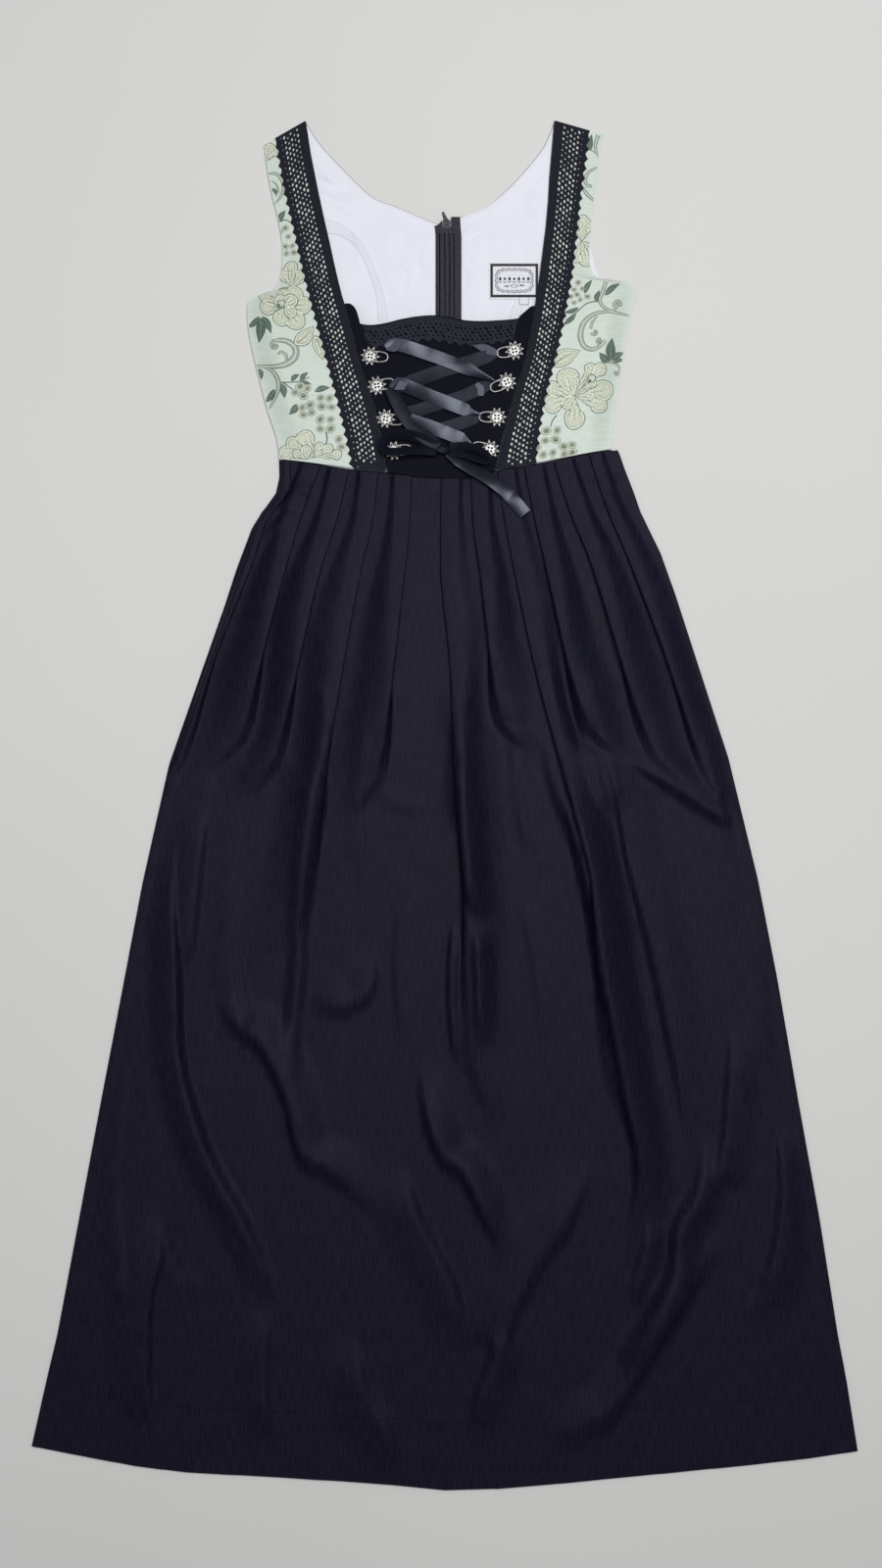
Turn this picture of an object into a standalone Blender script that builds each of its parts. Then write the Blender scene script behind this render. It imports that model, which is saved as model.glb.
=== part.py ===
"""A dirndl dress laid flat on its back: brocade bodice over a white lined
back, lace strips, a laced plastron, a zip and a long pleated skirt.

+Y runs from hem to shoulders, +Z is up, and the floor is z = 0.  The tables
below are in millimetres; the meshes are in metres.
"""
import math
from collections import namedtuple

import bmesh
import bpy
from mathutils import Vector

MM = 0.001

# ---------------------------------------------------------------- cloth sizes
SEAM_GAP = 0.3            # between pieces, along a seam and between layers
HIDDEN_GAP = 0.5          # more than that at the back's waist, underneath
BROCADE = 1.2             # wall of the brocade
LINING = 1.0              # wall of the white lining
COTTON = 1.0              # wall of plastron, bands and pleated skirt front
SKIRT_BACK = 1.2          # wall of the skirt's back panel
LACE = 0.9                # wall of the lace strips
RIBBON = 1.0              # wall of the satin ribbon
RIBBON_WIDTH = 11.5

LINING_FLOOR = BROCADE + SEAM_GAP
TAPE_FLOOR = LINING_FLOOR + LINING + SEAM_GAP
TAPE = 1.0
LEVEL_STEP = RIBBON + SEAM_GAP            # from one ribbon level to the next
FIRST_LEVEL = 2 * (COTTON + SEAM_GAP)     # ribbon and hooks over the bands

# -------------------------------------------------------------- bodice tables
# One row from the outer edge (strap, armhole, side) across to the front edge:
# y of the row at the side, the outer edge, the lace's outer edge, and the
# front edge with its own y.
Front = namedtuple("Front", "side_y side_x lace_x edge_x edge_y")
FRONT_LEFT = [
    Front(646.6, -176.6, -166.1, -136.3, 669.6),
    Front(624.5, -173.8, -161.8, -131.5, 637.9),
    Front(597.6, -169.0, -156.5, -124.3, 601.4),
    Front(572.6, -162.7, -150.2, -118.1, 572.6),
    Front(549.6, -158.9, -145.0, -112.8, 549.6),
    Front(532.3, -158.7, -141.1, -109.0, 532.3),
    Front(515.0, -161.8, -137.3, -105.1, 515.0),
    Front(504.5, -169.0, -134.4, -102.2, 503.5),
    Front(498.7, -184.3, -132.5, -100.8, 497.8),
    Front(490.6, -193.0, -130.6, -98.4, 490.1),
    Front(480.5, -193.0, -128.2, -95.5, 480.5),
    Front(461.3, -191.0, -122.9, -90.2, 461.3),
    Front(438.2, -186.2, -116.6, -84.0, 438.2),
    Front(415.2, -180.5, -110.7, -77.0, 415.2),
    Front(390.2, -174.2, -103.7, -69.1, 390.2),
    Front(370.1, -167.5, -98.9, -64.3, 370.1),
    Front(356.6, -163.7, -95.7, -61.4, 354.7),
    Front(339.4, -162.2, -90.7, -57.1, 326.5),
]
FRONT_RIGHT = [
    Front(656.2, 155.1, 141.6, 107.3, 669.9),
    Front(636.0, 150.7, 138.9, 104.4, 636.0),
    Front(614.9, 148.4, 135.8, 102.5, 614.9),
    Front(591.8, 145.6, 132.5, 101.3, 591.8),
    Front(565.9, 143.0, 129.9, 98.9, 565.9),
    Front(541.9, 141.6, 127.3, 96.0, 541.9),
    Front(527.5, 142.4, 125.8, 94.1, 527.5),
    Front(519.4, 145.9, 124.4, 93.1, 519.8),
    Front(515.0, 153.6, 123.8, 92.4, 515.0),
    Front(513.3, 167.0, 123.4, 92.0, 511.2),
    Front(511.2, 179.5, 122.9, 91.5, 507.8),
    Front(504.0, 186.5, 121.9, 90.7, 503.0),
    Front(493.0, 184.6, 119.8, 89.1, 493.0),
    Front(478.6, 180.5, 117.1, 86.7, 477.6),
    Front(458.4, 177.1, 113.3, 82.6, 458.4),
    Front(433.4, 173.3, 107.5, 77.3, 433.4),
    Front(400.8, 167.5, 98.4, 67.2, 400.8),
    Front(373.0, 164.6, 93.6, 60.0, 373.0),
    Front(360.5, 163.2, 91.2, 55.7, 357.6),
    Front(349.0, 162.0, 89.3, 49.5, 329.8),
]
# The back: a point on the outer edge and one on the neckline or centre seam.
# Near the zip's top the centre edges part to leave room for the slider.
Back = namedtuple("Back", "side_x side_y centre_x centre_y")
BACK_LEFT = [
    Back(-176.3, 645.6, -135.4, 668.8),
    Back(-173.2, 624.5, -122.9, 649.0),
    Back(-168.4, 597.6, -101.8, 625.8),
    Back(-164.0, 578.4, -83.5, 607.2),
    Back(-161.1, 561.1, -67.6, 594.1),
    Back(-159.2, 545.8, -46.6, 586.1),
    Back(-158.8, 538.1, -25.9, 577.0),
    Back(-158.9, 532.3, -4.4, 569.3),
    Back(-161.5, 515.0, -4.4, 561.1),
    Back(-168.6, 504.5, 1.0, 556.3),
    Back(-183.9, 498.3, 1.0, 538.1),
    Back(-192.4, 490.1, 1.0, 517.0),
    Back(-192.4, 480.5, 1.0, 495.8),
    Back(-190.5, 461.3, 1.0, 468.0),
    Back(-185.7, 438.2, 1.0, 438.2),
    Back(-179.9, 415.2, 1.0, 411.4),
    Back(-173.7, 390.2, 1.0, 382.6),
    Back(-166.9, 370.1, 1.0, 360.5),
    Back(-163.1, 356.6, 1.0, 344.2),
    Back(-161.7, 339.8, 1.0, 321.1),
]
BACK_RIGHT = [
    Back(154.4, 655.6, 106.0, 667.2),
    Back(150.5, 636.0, 97.9, 648.0),
    Back(148.1, 616.8, 89.9, 636.0),
    Back(145.7, 594.7, 74.3, 617.6),
    Back(144.3, 576.5, 55.9, 598.9),
    Back(143.4, 559.2, 37.4, 584.0),
    Back(143.6, 545.8, 23.0, 578.4),
    Back(145.9, 534.2, 7.1, 574.6),
    Back(148.2, 524.6, 7.1, 561.1),
    Back(150.9, 517.2, 1.4, 556.3),
    Back(161.3, 513.2, 1.4, 543.8),
    Back(178.2, 510.8, 1.4, 530.4),
    Back(186.0, 503.5, 1.4, 515.0),
    Back(184.0, 492.0, 1.4, 498.7),
    Back(180.1, 478.6, 1.4, 481.4),
    Back(176.7, 458.4, 1.4, 458.4),
    Back(172.9, 433.4, 1.4, 431.5),
    Back(167.1, 400.8, 1.4, 396.0),
    Back(164.3, 373.0, 1.4, 362.4),
    Back(162.8, 360.5, 1.4, 341.3),
    Back(161.7, 348.8, 1.4, 321.1),
]
LINING_INSET = 1.0         # the brocade shows this far beyond the lining
LINING_SLOT = (-5.6, 8.2)  # the lining's centre edges, under the zip tapes

# Front bands: y, gap to the front edge is SEAM_GAP, width across.
Band = namedtuple("Band", "y width")
BAND_LEFT = [Band(490.0, 5.0), Band(485.0, 9.0), Band(475.0, 9.6),
             Band(463.0, 9.0), Band(449.0, 13.0), Band(428.5, 14.6),
             Band(405.0, 13.4), Band(377.0, 12.6), Band(353.0, 13.4),
             Band(325.9, 14.8)]
BAND_RIGHT = [Band(487.5, 3.0), Band(483.0, 7.6), Band(476.0, 13.6),
              Band(458.4, 14.4), Band(430.5, 13.6), Band(395.0, 14.2),
              Band(365.0, 16.4), Band(338.0, 16.8), Band(329.0, 16.8)]

# Plastron: its neckline and its waist edge, left to right.
Node = namedtuple("Node", "x y")
PLASTRON_NECK = [Node(-91.0, 472.5), Node(-81.6, 469.0), Node(-64.3, 469.4),
                 Node(-43.2, 474.7), Node(-21.1, 478.6), Node(-8.6, 478.6),
                 Node(4.8, 476.6), Node(17.3, 473.8), Node(33.6, 472.8),
                 Node(54.7, 473.8), Node(69.1, 475.1), Node(83.5, 478.0)]
WAIST_SEAM = [Node(-162.2, 339.1), Node(-140.2, 337.6), Node(-116.2, 332.5),
              Node(-91.2, 328.6), Node(-65.3, 326.2), Node(-51.8, 325.4),
              Node(-32.6, 322.1), Node(-3.8, 320.2), Node(18.2, 319.8),
              Node(34.6, 323.4), Node(51.8, 328.3), Node(86.4, 333.5),
              Node(106.6, 337.5), Node(124.8, 341.8), Node(139.2, 345.4),
              Node(162.2, 348.8)]

# How far the front stands off the back, by y.
Lift = namedtuple("Lift", "y height")
FRONT_LIFT = [Lift(660.0, 0.2), Lift(600.0, 0.6), Lift(545.0, 1.4),
              Lift(500.0, 3.8), Lift(470.0, 5.6), Lift(430.0, 6.4),
              Lift(380.0, 5.0), Lift(350.0, 3.0), Lift(322.0, 1.7)]
LIFT_RUN = 24.0            # from the side edge in to the full lift

# ------------------------------------------------------------- lace and trims
SCALLOP_PITCH = 13.0
SCALLOP_DEPTH = 2.4
CROCHET_DEPTH = 29.0       # plastron lace, from its top to the zigzag's mean
CROCHET_PITCH = 14.0
CROCHET_ZIGZAG = 3.0

# Zip: tapes' outer and inner edges, slider and pull.
TAPE_LEFT = [(-9.6, -3.5, 567.4), (-8.6, -3.5, 559.5), (-8.6, 0.9, 557.0),
             (-8.6, 0.9, 500.0), (-8.6, 0.9, 410.0), (-8.6, 0.9, 327.0)]
TAPE_RIGHT = [(6.4, 14.4, 576.0), (6.4, 15.4, 559.5), (1.5, 15.8, 557.0),
              (1.5, 15.8, 500.0), (1.5, 15.8, 410.0), (1.5, 15.8, 327.0)]
SLIDER_OUTLINE = [(-2.3, 572.6), (-1.4, 564.8), (4.4, 564.8), (5.6, 571.6),
                  (1.9, 574.8)]
SLIDER_FLOOR = 1.4
SLIDER_TOP = 4.8
LUG = (1.0, 3.2)           # the slider's two lugs: width and length
PULL_X = (-0.6, 3.8)       # the pull tab between the lugs
PULL_HINGE_Y = 566.2
PULL_THICK = 1.0
PULL_TIP = (-1.6, 582.0)
PULL_HOLE = 0.55

LABEL = (43.0, 92.6, 495.6, 532.2)       # left, right, bottom, top
LABEL_TAB = (72.0, 82.6, 489.6, 495.2)
LABEL_WALL = 1.0

# Hooks: flower centre and the turn of its wire loop from +X, in degrees.
Hook = namedtuple("Hook", "name x y turn")
HOOKS = [Hook("hook_left_1", -72.6, 438.2, -6.0),
         Hook("hook_left_2", -66.2, 409.4, 10.0),
         Hook("hook_left_3", -57.6, 377.5, -8.0),
         Hook("hook_left_4", -49.6, 346.6, 4.0),
         Hook("hook_right_1", 67.6, 443.6, 192.0),
         Hook("hook_right_2", 60.2, 413.0, 205.0),
         Hook("hook_right_3", 50.6, 379.0, 180.0),
         Hook("hook_right_4", 43.9, 347.8, 168.0)]
HOOK_PETALS = 10
HOOK_RADIUS = 8.4
HOOK_WAIST = 5.2
HOOK_WALL = 1.2

# Ribbon stretches: level above the bands, then four points of the middle line.
Stretch = namedtuple("Stretch", "name level width a b c d")
STRETCHES = [
    Stretch("ribbon_cross_1", 1, 11.5, (-48.0, 447.4), (-13.4, 438.2),
            (20.2, 425.8), (45.6, 415.4)),
    Stretch("ribbon_cross_2", 0, 13.0, (43.6, 437.4), (25.0, 432.4),
            (-3.8, 423.4), (-44.6, 408.6)),
    Stretch("ribbon_cross_3", 1, 11.5, (-45.0, 409.4), (-13.4, 397.9),
            (15.4, 387.4), (28.0, 382.8)),
    Stretch("ribbon_cross_4", 0, 11.5, (38.4, 408.0), (15.4, 398.4),
            (-13.4, 389.3), (-38.0, 381.8)),
    Stretch("ribbon_cross_5", 1, 11.5, (-30.4, 374.4), (-8.6, 367.2),
            (13.4, 359.6), (24.4, 355.4)),
    Stretch("ribbon_cross_6", 0, 11.5, (29.6, 377.6), (9.7, 371.4),
            (-8.6, 366.0), (-26.0, 361.8)),
    Stretch("ribbon_long", 2, 11.5, (-49.6, 400.4), (-40.6, 383.6),
            (-29.4, 369.2), (-14.4, 356.8)),
]
KNOT = (-3.0, 347.4, 14.0, 8.6, 5.2)     # centre, length, width, height
LOOP_LEFT = ((-10.8, 346.4), (-50.0, 345.6), 9.4)
LOOP_RIGHT = ((4.6, 344.8), (33.0, 337.4), 9.0)
LOOP_RISE = 3.6
TAIL = [(5.6, 339.2), (25.0, 328.4), (41.3, 319.4), (56.6, 308.6),
        (68.6, 296.6), (77.4, 285.8)]

# ---------------------------------------------------------------------- skirt
# Outline: y, left edge, right edge.
Level = namedtuple("Level", "y left right")
SKIRT = [
    Level(338.4, -162.2, 163.7), Level(325.0, -161.8, 170.9),
    Level(312.0, -162.4, 175.6), Level(300.0, -169.4, 180.6),
    Level(288.0, -179.0, 185.4), Level(271.2, -188.9, 191.5),
    Level(232.8, -203.5, 211.2),
    Level(194.4, -216.0, 225.6), Level(117.6, -242.9, 251.5),
    Level(40.8, -269.8, 277.4), Level(-74.4, -295.7, 306.2),
    Level(-170.4, -313.9, 325.4), Level(-285.6, -336.0, 345.6),
    Level(-400.8, -357.6, 366.7), Level(-516.0, -379.2, 385.0),
    Level(-554.4, -388.3, 392.6), Level(-626.4, -404.2, 404.2),
]
HEM = [Node(-404.2, -626.4), Node(-336.0, -638.9), Node(-276.5, -650.3),
       Node(-174.7, -655.6), Node(-66.2, -662.4), Node(5.8, -669.6),
       Node(69.1, -666.7), Node(195.8, -654.4), Node(331.2, -641.0),
       Node(404.2, -631.2)]

# Pleats, left to right: the side their crisp edge faces, how deep they are
# tucked, how far below the waist they hold, and the fold edge's x at the
# depths below the waist in PLEAT_DEPTHS.
PLEAT_DEPTHS = (0.0, 50.0, 100.0, 200.0, 300.0, 400.0)
Pleat = namedtuple("Pleat", "name faces tuck reach x0 x1 x2 x3 x4 x5")
PLEATS = [
    Pleat("left_1", +1, 5.0, 330, -150.4, -172.0, -188.0, -226.0, -254.0, -276.0),
    Pleat("left_2", +1, 13.0, 300, -121.9, -140.2, -154.6, -179.5, -199.7, -216.0),
    Pleat("left_3", +1, 14.0, 330, -94.1, -105.6, -121.0, -143.0, -164.2, -181.4),
    Pleat("left_4", +1, 14.0, 480, -65.3, -71.0, -82.1, -99.8, -115.2, -129.6),
    Pleat("left_5", +1, 14.0, 340, -32.6, -34.6, -39.4, -49.9, -60.5, -66.2),
    Pleat("centre", -1, 14.0, 500, -3.4, -4.1, -3.8, 5.8, 8.6, 18.2),
    Pleat("right_1", -1, 13.0, 280, 25.9, 27.8, 34.6, 45.1, 56.6, 67.2),
    Pleat("right_2", -1, 13.0, 560, 51.4, 58.6, 67.7, 88.3, 114.2, 140.2),
    Pleat("right_3", -1, 14.0, 290, 77.8, 87.4, 98.4, 120.0, 148.8, 178.6),
    Pleat("right_4", -1, 14.0, 320, 106.6, 122.4, 142.1, 171.8, 202.6, 230.4),
    Pleat("right_5", -1, 8.0, 350, 141.1, 157.4, 178.6, 216.0, 247.7, 272.6),
]
# How a pleat opens over its reach: turn of the fold in degrees, the tucked
# length as a share of its tuck, and the radius of the turn.
Opening = namedtuple("Opening", "share turn tuck radius")
PLEAT_OPENING = [
    Opening(0.00, 180.0, 1.00, 0.68), Opening(0.12, 178.0, 0.95, 0.72),
    Opening(0.28, 168.0, 0.80, 0.90), Opening(0.45, 142.0, 0.62, 1.30),
    Opening(0.62, 100.0, 0.52, 1.90), Opening(0.78, 56.0, 0.50, 3.40),
    Opening(0.90, 24.0, 0.50, 8.00), Opening(1.00, 4.0, 0.40, 30.00),
]
PLEAT_RUN = 4.0           # least way in which a panel rises over its fold
SKIRT_FLOOR = SKIRT_BACK + SEAM_GAP + COTTON / 2    # middle of the lowest layer

# Soft folds below the pleats: three points of each crest, its height and its
# half width. The gentle flank lies to the left of the way the points walk.
Fold = namedtuple("Fold", "x0 y0 x1 y1 x2 y2 height half")
FOLDS = [
    Fold(-109, 104, -125, -41, -139, -191, 8.0, 12),
    Fold(-141, -40, -145, -150, -139, -276, 5.0, 11),
    Fold(-218, 59, -233, -21, -237, -131, 4.0, 11),
    Fold(-256, -9, -258, -179, -227, -329, 6.5, 12),
    Fold(-226, -326, -192, -396, -152, -476, 5.0, 14),
    Fold(-215, -188, -157, -258, -121, -341, 7.5, 13),
    Fold(-122, -338, -90, -369, -52, -399, 7.0, 15),
    Fold(-114, -192, -72, -180, -68, -146, 3.0, 9),
    Fold(15, 12, 25, -68, 45, -118, 8.0, 12),
    Fold(20, -90, 12, -150, 16, -262, 5.0, 10),
    Fold(42, -115, 33, -170, 36, -240, 4.0, 9),
    Fold(-20, -251, 0, -341, 76, -436, 6.0, 15),
    Fold(-41, -349, -3, -417, 33, -522, 5.0, 13),
    Fold(105, 62, 147, -78, 161, -168, 9.0, 15),
    Fold(161, -169, 181, -299, 195, -399, 9.0, 15),
    Fold(193, -351, 195, -401, 175, -451, 5.0, 12),
    Fold(153, 52, 208, 19, 288, -9, 4.0, 12),
    Fold(253, -302, 270, -332, 208, -462, 5.5, 13),
    Fold(151, -524, 173, -496, 193, -456, 4.0, 13),
    Fold(65, -481, 105, -411, 143, -341, 5.0, 13),
    Fold(5, -617, 35, -527, 65, -482, 5.5, 12),
    Fold(158, -596, 219, -506, 273, -421, 5.5, 13),
    Fold(90, -622, 128, -619, 163, -594, 4.0, 11),
    Fold(325, -296, 335, -366, 307, -491, 5.0, 12),
    Fold(-271, -400, -285, -520, -269, -618, 4.0, 12),
    Fold(-73, -503, -63, -558, -31, -653, 4.5, 12),
    Fold(-155, -481, -155, -561, -165, -605, 3.5, 12),
]
# Overall fullness of the laid skirt, by y: how high it lies between the folds.
FULLNESS = [Lift(350.0, 0.0), Lift(250.0, 0.4), Lift(120.0, 1.0),
            Lift(-60.0, 1.6), Lift(-300.0, 1.8), Lift(-520.0, 1.5),
            Lift(-670.0, 1.0)]
FULLNESS_RUN = 46.0        # from the side edge in to the full height

PALETTE = {
    "brocade": ((0.60, 0.66, 0.58), 0.55, 0.0),
    "lining": ((0.80, 0.81, 0.90), 0.85, 0.0),
    "cotton": ((0.013, 0.014, 0.022), 0.80, 0.0),
    "lace": ((0.010, 0.011, 0.015), 0.85, 0.0),
    "satin": ((0.025, 0.027, 0.038), 0.35, 0.0),
    "silver": ((0.62, 0.62, 0.62), 0.30, 1.0),
    "zip_metal": ((0.06, 0.06, 0.07), 0.45, 0.6),
    "zip_tape": ((0.012, 0.012, 0.016), 0.85, 0.0),
    "label": ((0.78, 0.79, 0.86), 0.80, 0.0),
}


# ------------------------------------------------------------------- helpers
def clear_scene():
    """Remove every object that the file opened with."""
    for item in list(bpy.data.objects):
        bpy.data.objects.remove(item, do_unlink=True)


def collection(name):
    """The collection that holds the dress."""
    group = bpy.data.collections.new(name)
    bpy.context.scene.collection.children.link(group)
    return group


def finish(name):
    """A plain Principled material for one entry of the palette."""
    colour, rough, metal = PALETTE[name]
    material = bpy.data.materials.get(name) or bpy.data.materials.new(name)
    material.use_nodes = True
    shader = material.node_tree.nodes["Principled BSDF"]
    shader.inputs["Base Color"].default_value = (*colour, 1.0)
    shader.inputs["Roughness"].default_value = rough
    shader.inputs["Metallic"].default_value = metal
    return material


def lookup(xs, values, x):
    """Smooth value at x through a table whose xs rise, held at both ends."""
    if x <= xs[0]:
        return values[0]
    if x >= xs[-1]:
        return values[-1]
    k = max(i for i in range(len(xs) - 1) if xs[i] <= x)

    def slope(i):
        low, high = max(i - 1, 0), min(i + 1, len(xs) - 1)
        return (values[high] - values[low]) / (xs[high] - xs[low])

    span = xs[k + 1] - xs[k]
    t = (x - xs[k]) / span
    a, b = values[k], values[k + 1]
    h00 = (1 + 2 * t) * (1 - t) ** 2
    h01 = t * t * (3 - 2 * t)
    value = (h00 * a + t * (1 - t) ** 2 * span * slope(k) + h01 * b
             + t * t * (t - 1) * span * slope(k + 1))
    return min(max(value, min(a, b)), max(a, b))


def straight(xs, values, x):
    """Straight-line value at x through a table whose xs rise."""
    if x <= xs[0]:
        return values[0]
    for k in range(len(xs) - 1):
        if x <= xs[k + 1]:
            t = (x - xs[k]) / (xs[k + 1] - xs[k])
            return values[k] + t * (values[k + 1] - values[k])
    return values[-1]


def smoothstep(t):
    """0 below 0, 1 above 1, and a soft step between."""
    t = min(max(t, 0.0), 1.0)
    return t * t * (3 - 2 * t)


def by_y(table, column, y):
    """A column of a table sorted down the dress, read at height y."""
    rows = list(reversed(table))
    return straight([row.y for row in rows],
                    [getattr(row, column) for row in rows], y)


def along(points, x):
    """y of a left-to-right line of points at x."""
    return straight([p.x for p in points], [p.y for p in points], x)


def mesh_object(name, group, verts, faces, material):
    """A mesh object from millimetre points, smooth shaded."""
    mesh = bpy.data.meshes.new(name)
    mesh.from_pydata([(x * MM, y * MM, z * MM) for x, y, z in verts],
                     [], faces)
    mesh.materials.append(finish(material))
    mesh.validate()
    for face in mesh.polygons:
        face.use_smooth = True
    item = bpy.data.objects.new(name, mesh)
    group.objects.link(item)
    return item


def thicken(item, wall, side):
    """Solidify an open sheet; side 1 grows upwards, 0 both ways."""
    shell = item.modifiers.new("wall", "SOLIDIFY")
    shell.thickness = wall * MM
    shell.offset = side
    shell.use_even_offset = True
    shell.use_quality_normals = True
    return item


def sheet(name, group, rows, wall, material, side=1.0):
    """A cloth wall lofted over rows of points; rows run down the dress and
    each row runs from left to right."""
    across = len(rows[0])
    verts = [point for row in rows for point in row]
    faces = []
    for r in range(len(rows) - 1):
        for c in range(across - 1):
            a = r * across + c
            faces.append((a, a + across, a + across + 1, a + 1))
    return thicken(mesh_object(name, group, verts, faces, material),
                   wall, side)


# ---------------------------------------------------- height of the front
def side_edge(y):
    """x of the bodice's outer edges at height y, left and right."""
    left = [(row.side_y, row.side_x) for row in reversed(FRONT_LEFT)]
    right = [(row.side_y, row.side_x) for row in reversed(FRONT_RIGHT)]
    return (straight([a for a, _ in left], [b for _, b in left], y),
            straight([a for a, _ in right], [b for _, b in right], y))


def front_height(x, y):
    """z of the underside of the front panels over the zip and the lining."""
    low, high = side_edge(y)
    inside = min(x - low, high - x)
    rise = smoothstep(inside / LIFT_RUN)
    return TAPE_FLOOR + rise * by_y(FRONT_LIFT, "height", y)


def front_edge(table, y):
    """x of a front panel's inner edge at height y."""
    rows = [(row.edge_y, row.edge_x) for row in reversed(table)]
    return straight([a for a, _ in rows], [b for _, b in rows], y)


def at_waist(x):
    """y where a bodice piece ends, just above the waist seam."""
    return along(WAIST_SEAM, x) + SEAM_GAP * 1.6


def put(x, y, over=0.0):
    """A point on the front, over millimetres above its underside."""
    return (x, y, front_height(x, y) + over)


# ------------------------------------------------------------------- bodice
def back_half(name, group, table, left, floor, wall, inset, centre, material,
              columns=7):
    """A flat half of the back from its outer edge to the centre seam."""
    rows = []
    for row in table:
        span = row.centre_x - row.side_x
        length = math.hypot(span, row.centre_y - row.side_y)
        ux, uy = span / length, (row.centre_y - row.side_y) / length
        start = (row.side_x + ux * inset * 0.6, row.side_y + uy * inset * 0.6)
        at_neck = row.centre_y > 557 and abs(row.centre_x) > 10
        if at_neck:
            stop = (row.centre_x - ux * inset, row.centre_y - uy * inset)
        else:
            edge = centre if centre is not None else row.centre_x
            drop = inset if abs(row.centre_y - 572) < 4 else 0.0
            stop = (edge, row.centre_y - drop)
        line = []
        for k in range(columns + 1):
            t = k / columns
            x = start[0] + t * (stop[0] - start[0])
            y = start[1] + t * (stop[1] - start[1])
            if row is table[-1]:
                y = at_waist(x) + HIDDEN_GAP
            line.append((x, y, floor))
        rows.append(line if left else list(reversed(line)))
    return sheet(name, group, rows, wall, material)


def panel_shares(columns):
    """Where a front panel's columns lie, from side edge to front edge."""
    return [(k / columns) ** 1.3 for k in range(columns + 1)]


def panel_point(row, share):
    """A point of one row of a front panel's underside."""
    x = row.side_x + share * (row.edge_x - row.side_x)
    y = row.side_y + share * (row.edge_y - row.side_y)
    return put(x, at_waist(x) if row.side_y < 350.0 else y)


def front_panel(name, group, table, left, columns=8):
    """A brocade front panel with its strap, from side edge to front edge."""
    rows = []
    for row in table:
        line = [panel_point(row, share) for share in panel_shares(columns)]
        rows.append(line if left else list(reversed(line)))
    return sheet(name, group, rows, BROCADE, "brocade")


def on_panel(table, place, share, over, columns=8):
    """A point over a front panel's own facets: place counts rows down."""
    k = min(int(place), len(table) - 2)
    f = place - k
    shares = panel_shares(columns)
    c = max(i for i in range(columns) if shares[i] <= share + 1e-9)
    g = (share - shares[c]) / (shares[c + 1] - shares[c])
    a, b = (panel_point(table[k], shares[c]),
            panel_point(table[k], shares[c + 1]))
    d, e = (panel_point(table[k + 1], shares[c]),
            panel_point(table[k + 1], shares[c + 1]))
    x, y, z = ((1 - f) * ((1 - g) * a[i] + g * b[i])
               + f * ((1 - g) * d[i] + g * e[i]) for i in range(3))
    return x, y, z + over


def lace_strip(name, group, table, left, steps=3):
    """A lace strip on the brocade with a scalloped outer edge."""
    edge = [(row.edge_x, row.edge_y) for row in table]
    length = [0.0]
    for a, b in zip(edge, edge[1:]):
        length.append(length[-1] + math.dist(a, b))
    count = round(length[-1] / SCALLOP_PITCH) * steps
    rows = []
    for k in range(count + 1):
        s = length[-1] * k / count
        place = straight(length, list(range(len(table))), s)
        width = straight(length, [abs(r.edge_x - r.side_x) for r in table], s)
        start = straight(length, [(r.lace_x - r.side_x)
                                  / (r.edge_x - r.side_x) for r in table], s)
        wave = math.sin(math.pi * (k % steps) / steps) - 0.5
        start -= SCALLOP_DEPTH * wave / width
        stop = 1.0 - 2 * SEAM_GAP / width
        line = [on_panel(table, place, start + t * (stop - start),
                         BROCADE + SEAM_GAP) for t in (0.0, 0.5, 1.0)]
        rows.append(line if left else list(reversed(line)))
    return sheet(name, group, rows, LACE, "lace")


def front_band(name, group, table, widths, left):
    """A dark band beside the front edge, with a rounded horn at its top."""
    inward = 1.0 if left else -1.0
    rows = []
    for row in widths:
        outer = front_edge(table, row.y) + inward * 2 * SEAM_GAP
        line = []
        for t in (0.0, 0.5, 1.0):
            x = outer + inward * t * row.width
            y = row.y
            if row is widths[-1]:
                y = at_waist(x)
            line.append(put(x, y, COTTON + SEAM_GAP))
        rows.append(line if left else list(reversed(line)))
    return sheet(name, group, rows, COTTON, "cotton")


def plastron_point(u, v):
    """A point of the plastron: u across from the left, v down from its top."""
    top_x = PLASTRON_NECK[0].x + u * (PLASTRON_NECK[-1].x - PLASTRON_NECK[0].x)
    top_y = along(PLASTRON_NECK, top_x)
    low = front_edge(FRONT_LEFT, 326.0) + 3.0
    high = front_edge(FRONT_RIGHT, 328.0) - 3.0
    foot_x = low + u * (high - low)
    foot_y = at_waist(foot_x)
    y = top_y + v * (foot_y - top_y)
    left = front_edge(FRONT_LEFT, y) + 1.2
    right = front_edge(FRONT_RIGHT, y) - 1.2
    straight_x = top_x + v * (foot_x - top_x)
    return min(max(straight_x, left), right), y


def plastron(group, columns=11, rows_down=7):
    """The plastron between and under the two bands."""
    rows = []
    for r in range(rows_down + 1):
        rows.append([put(*plastron_point(c / columns, r / rows_down))
                     for c in range(columns + 1)])
    return sheet("plastron", group, rows, COTTON, "cotton")


def band_inner(y, left):
    """x of a band's inner edge at height y."""
    table, widths = ((FRONT_LEFT, BAND_LEFT) if left
                     else (FRONT_RIGHT, BAND_RIGHT))
    inward = 1.0 if left else -1.0
    return (front_edge(table, y)
            + inward * (2 * SEAM_GAP + by_y(widths, "width", y)))


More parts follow.
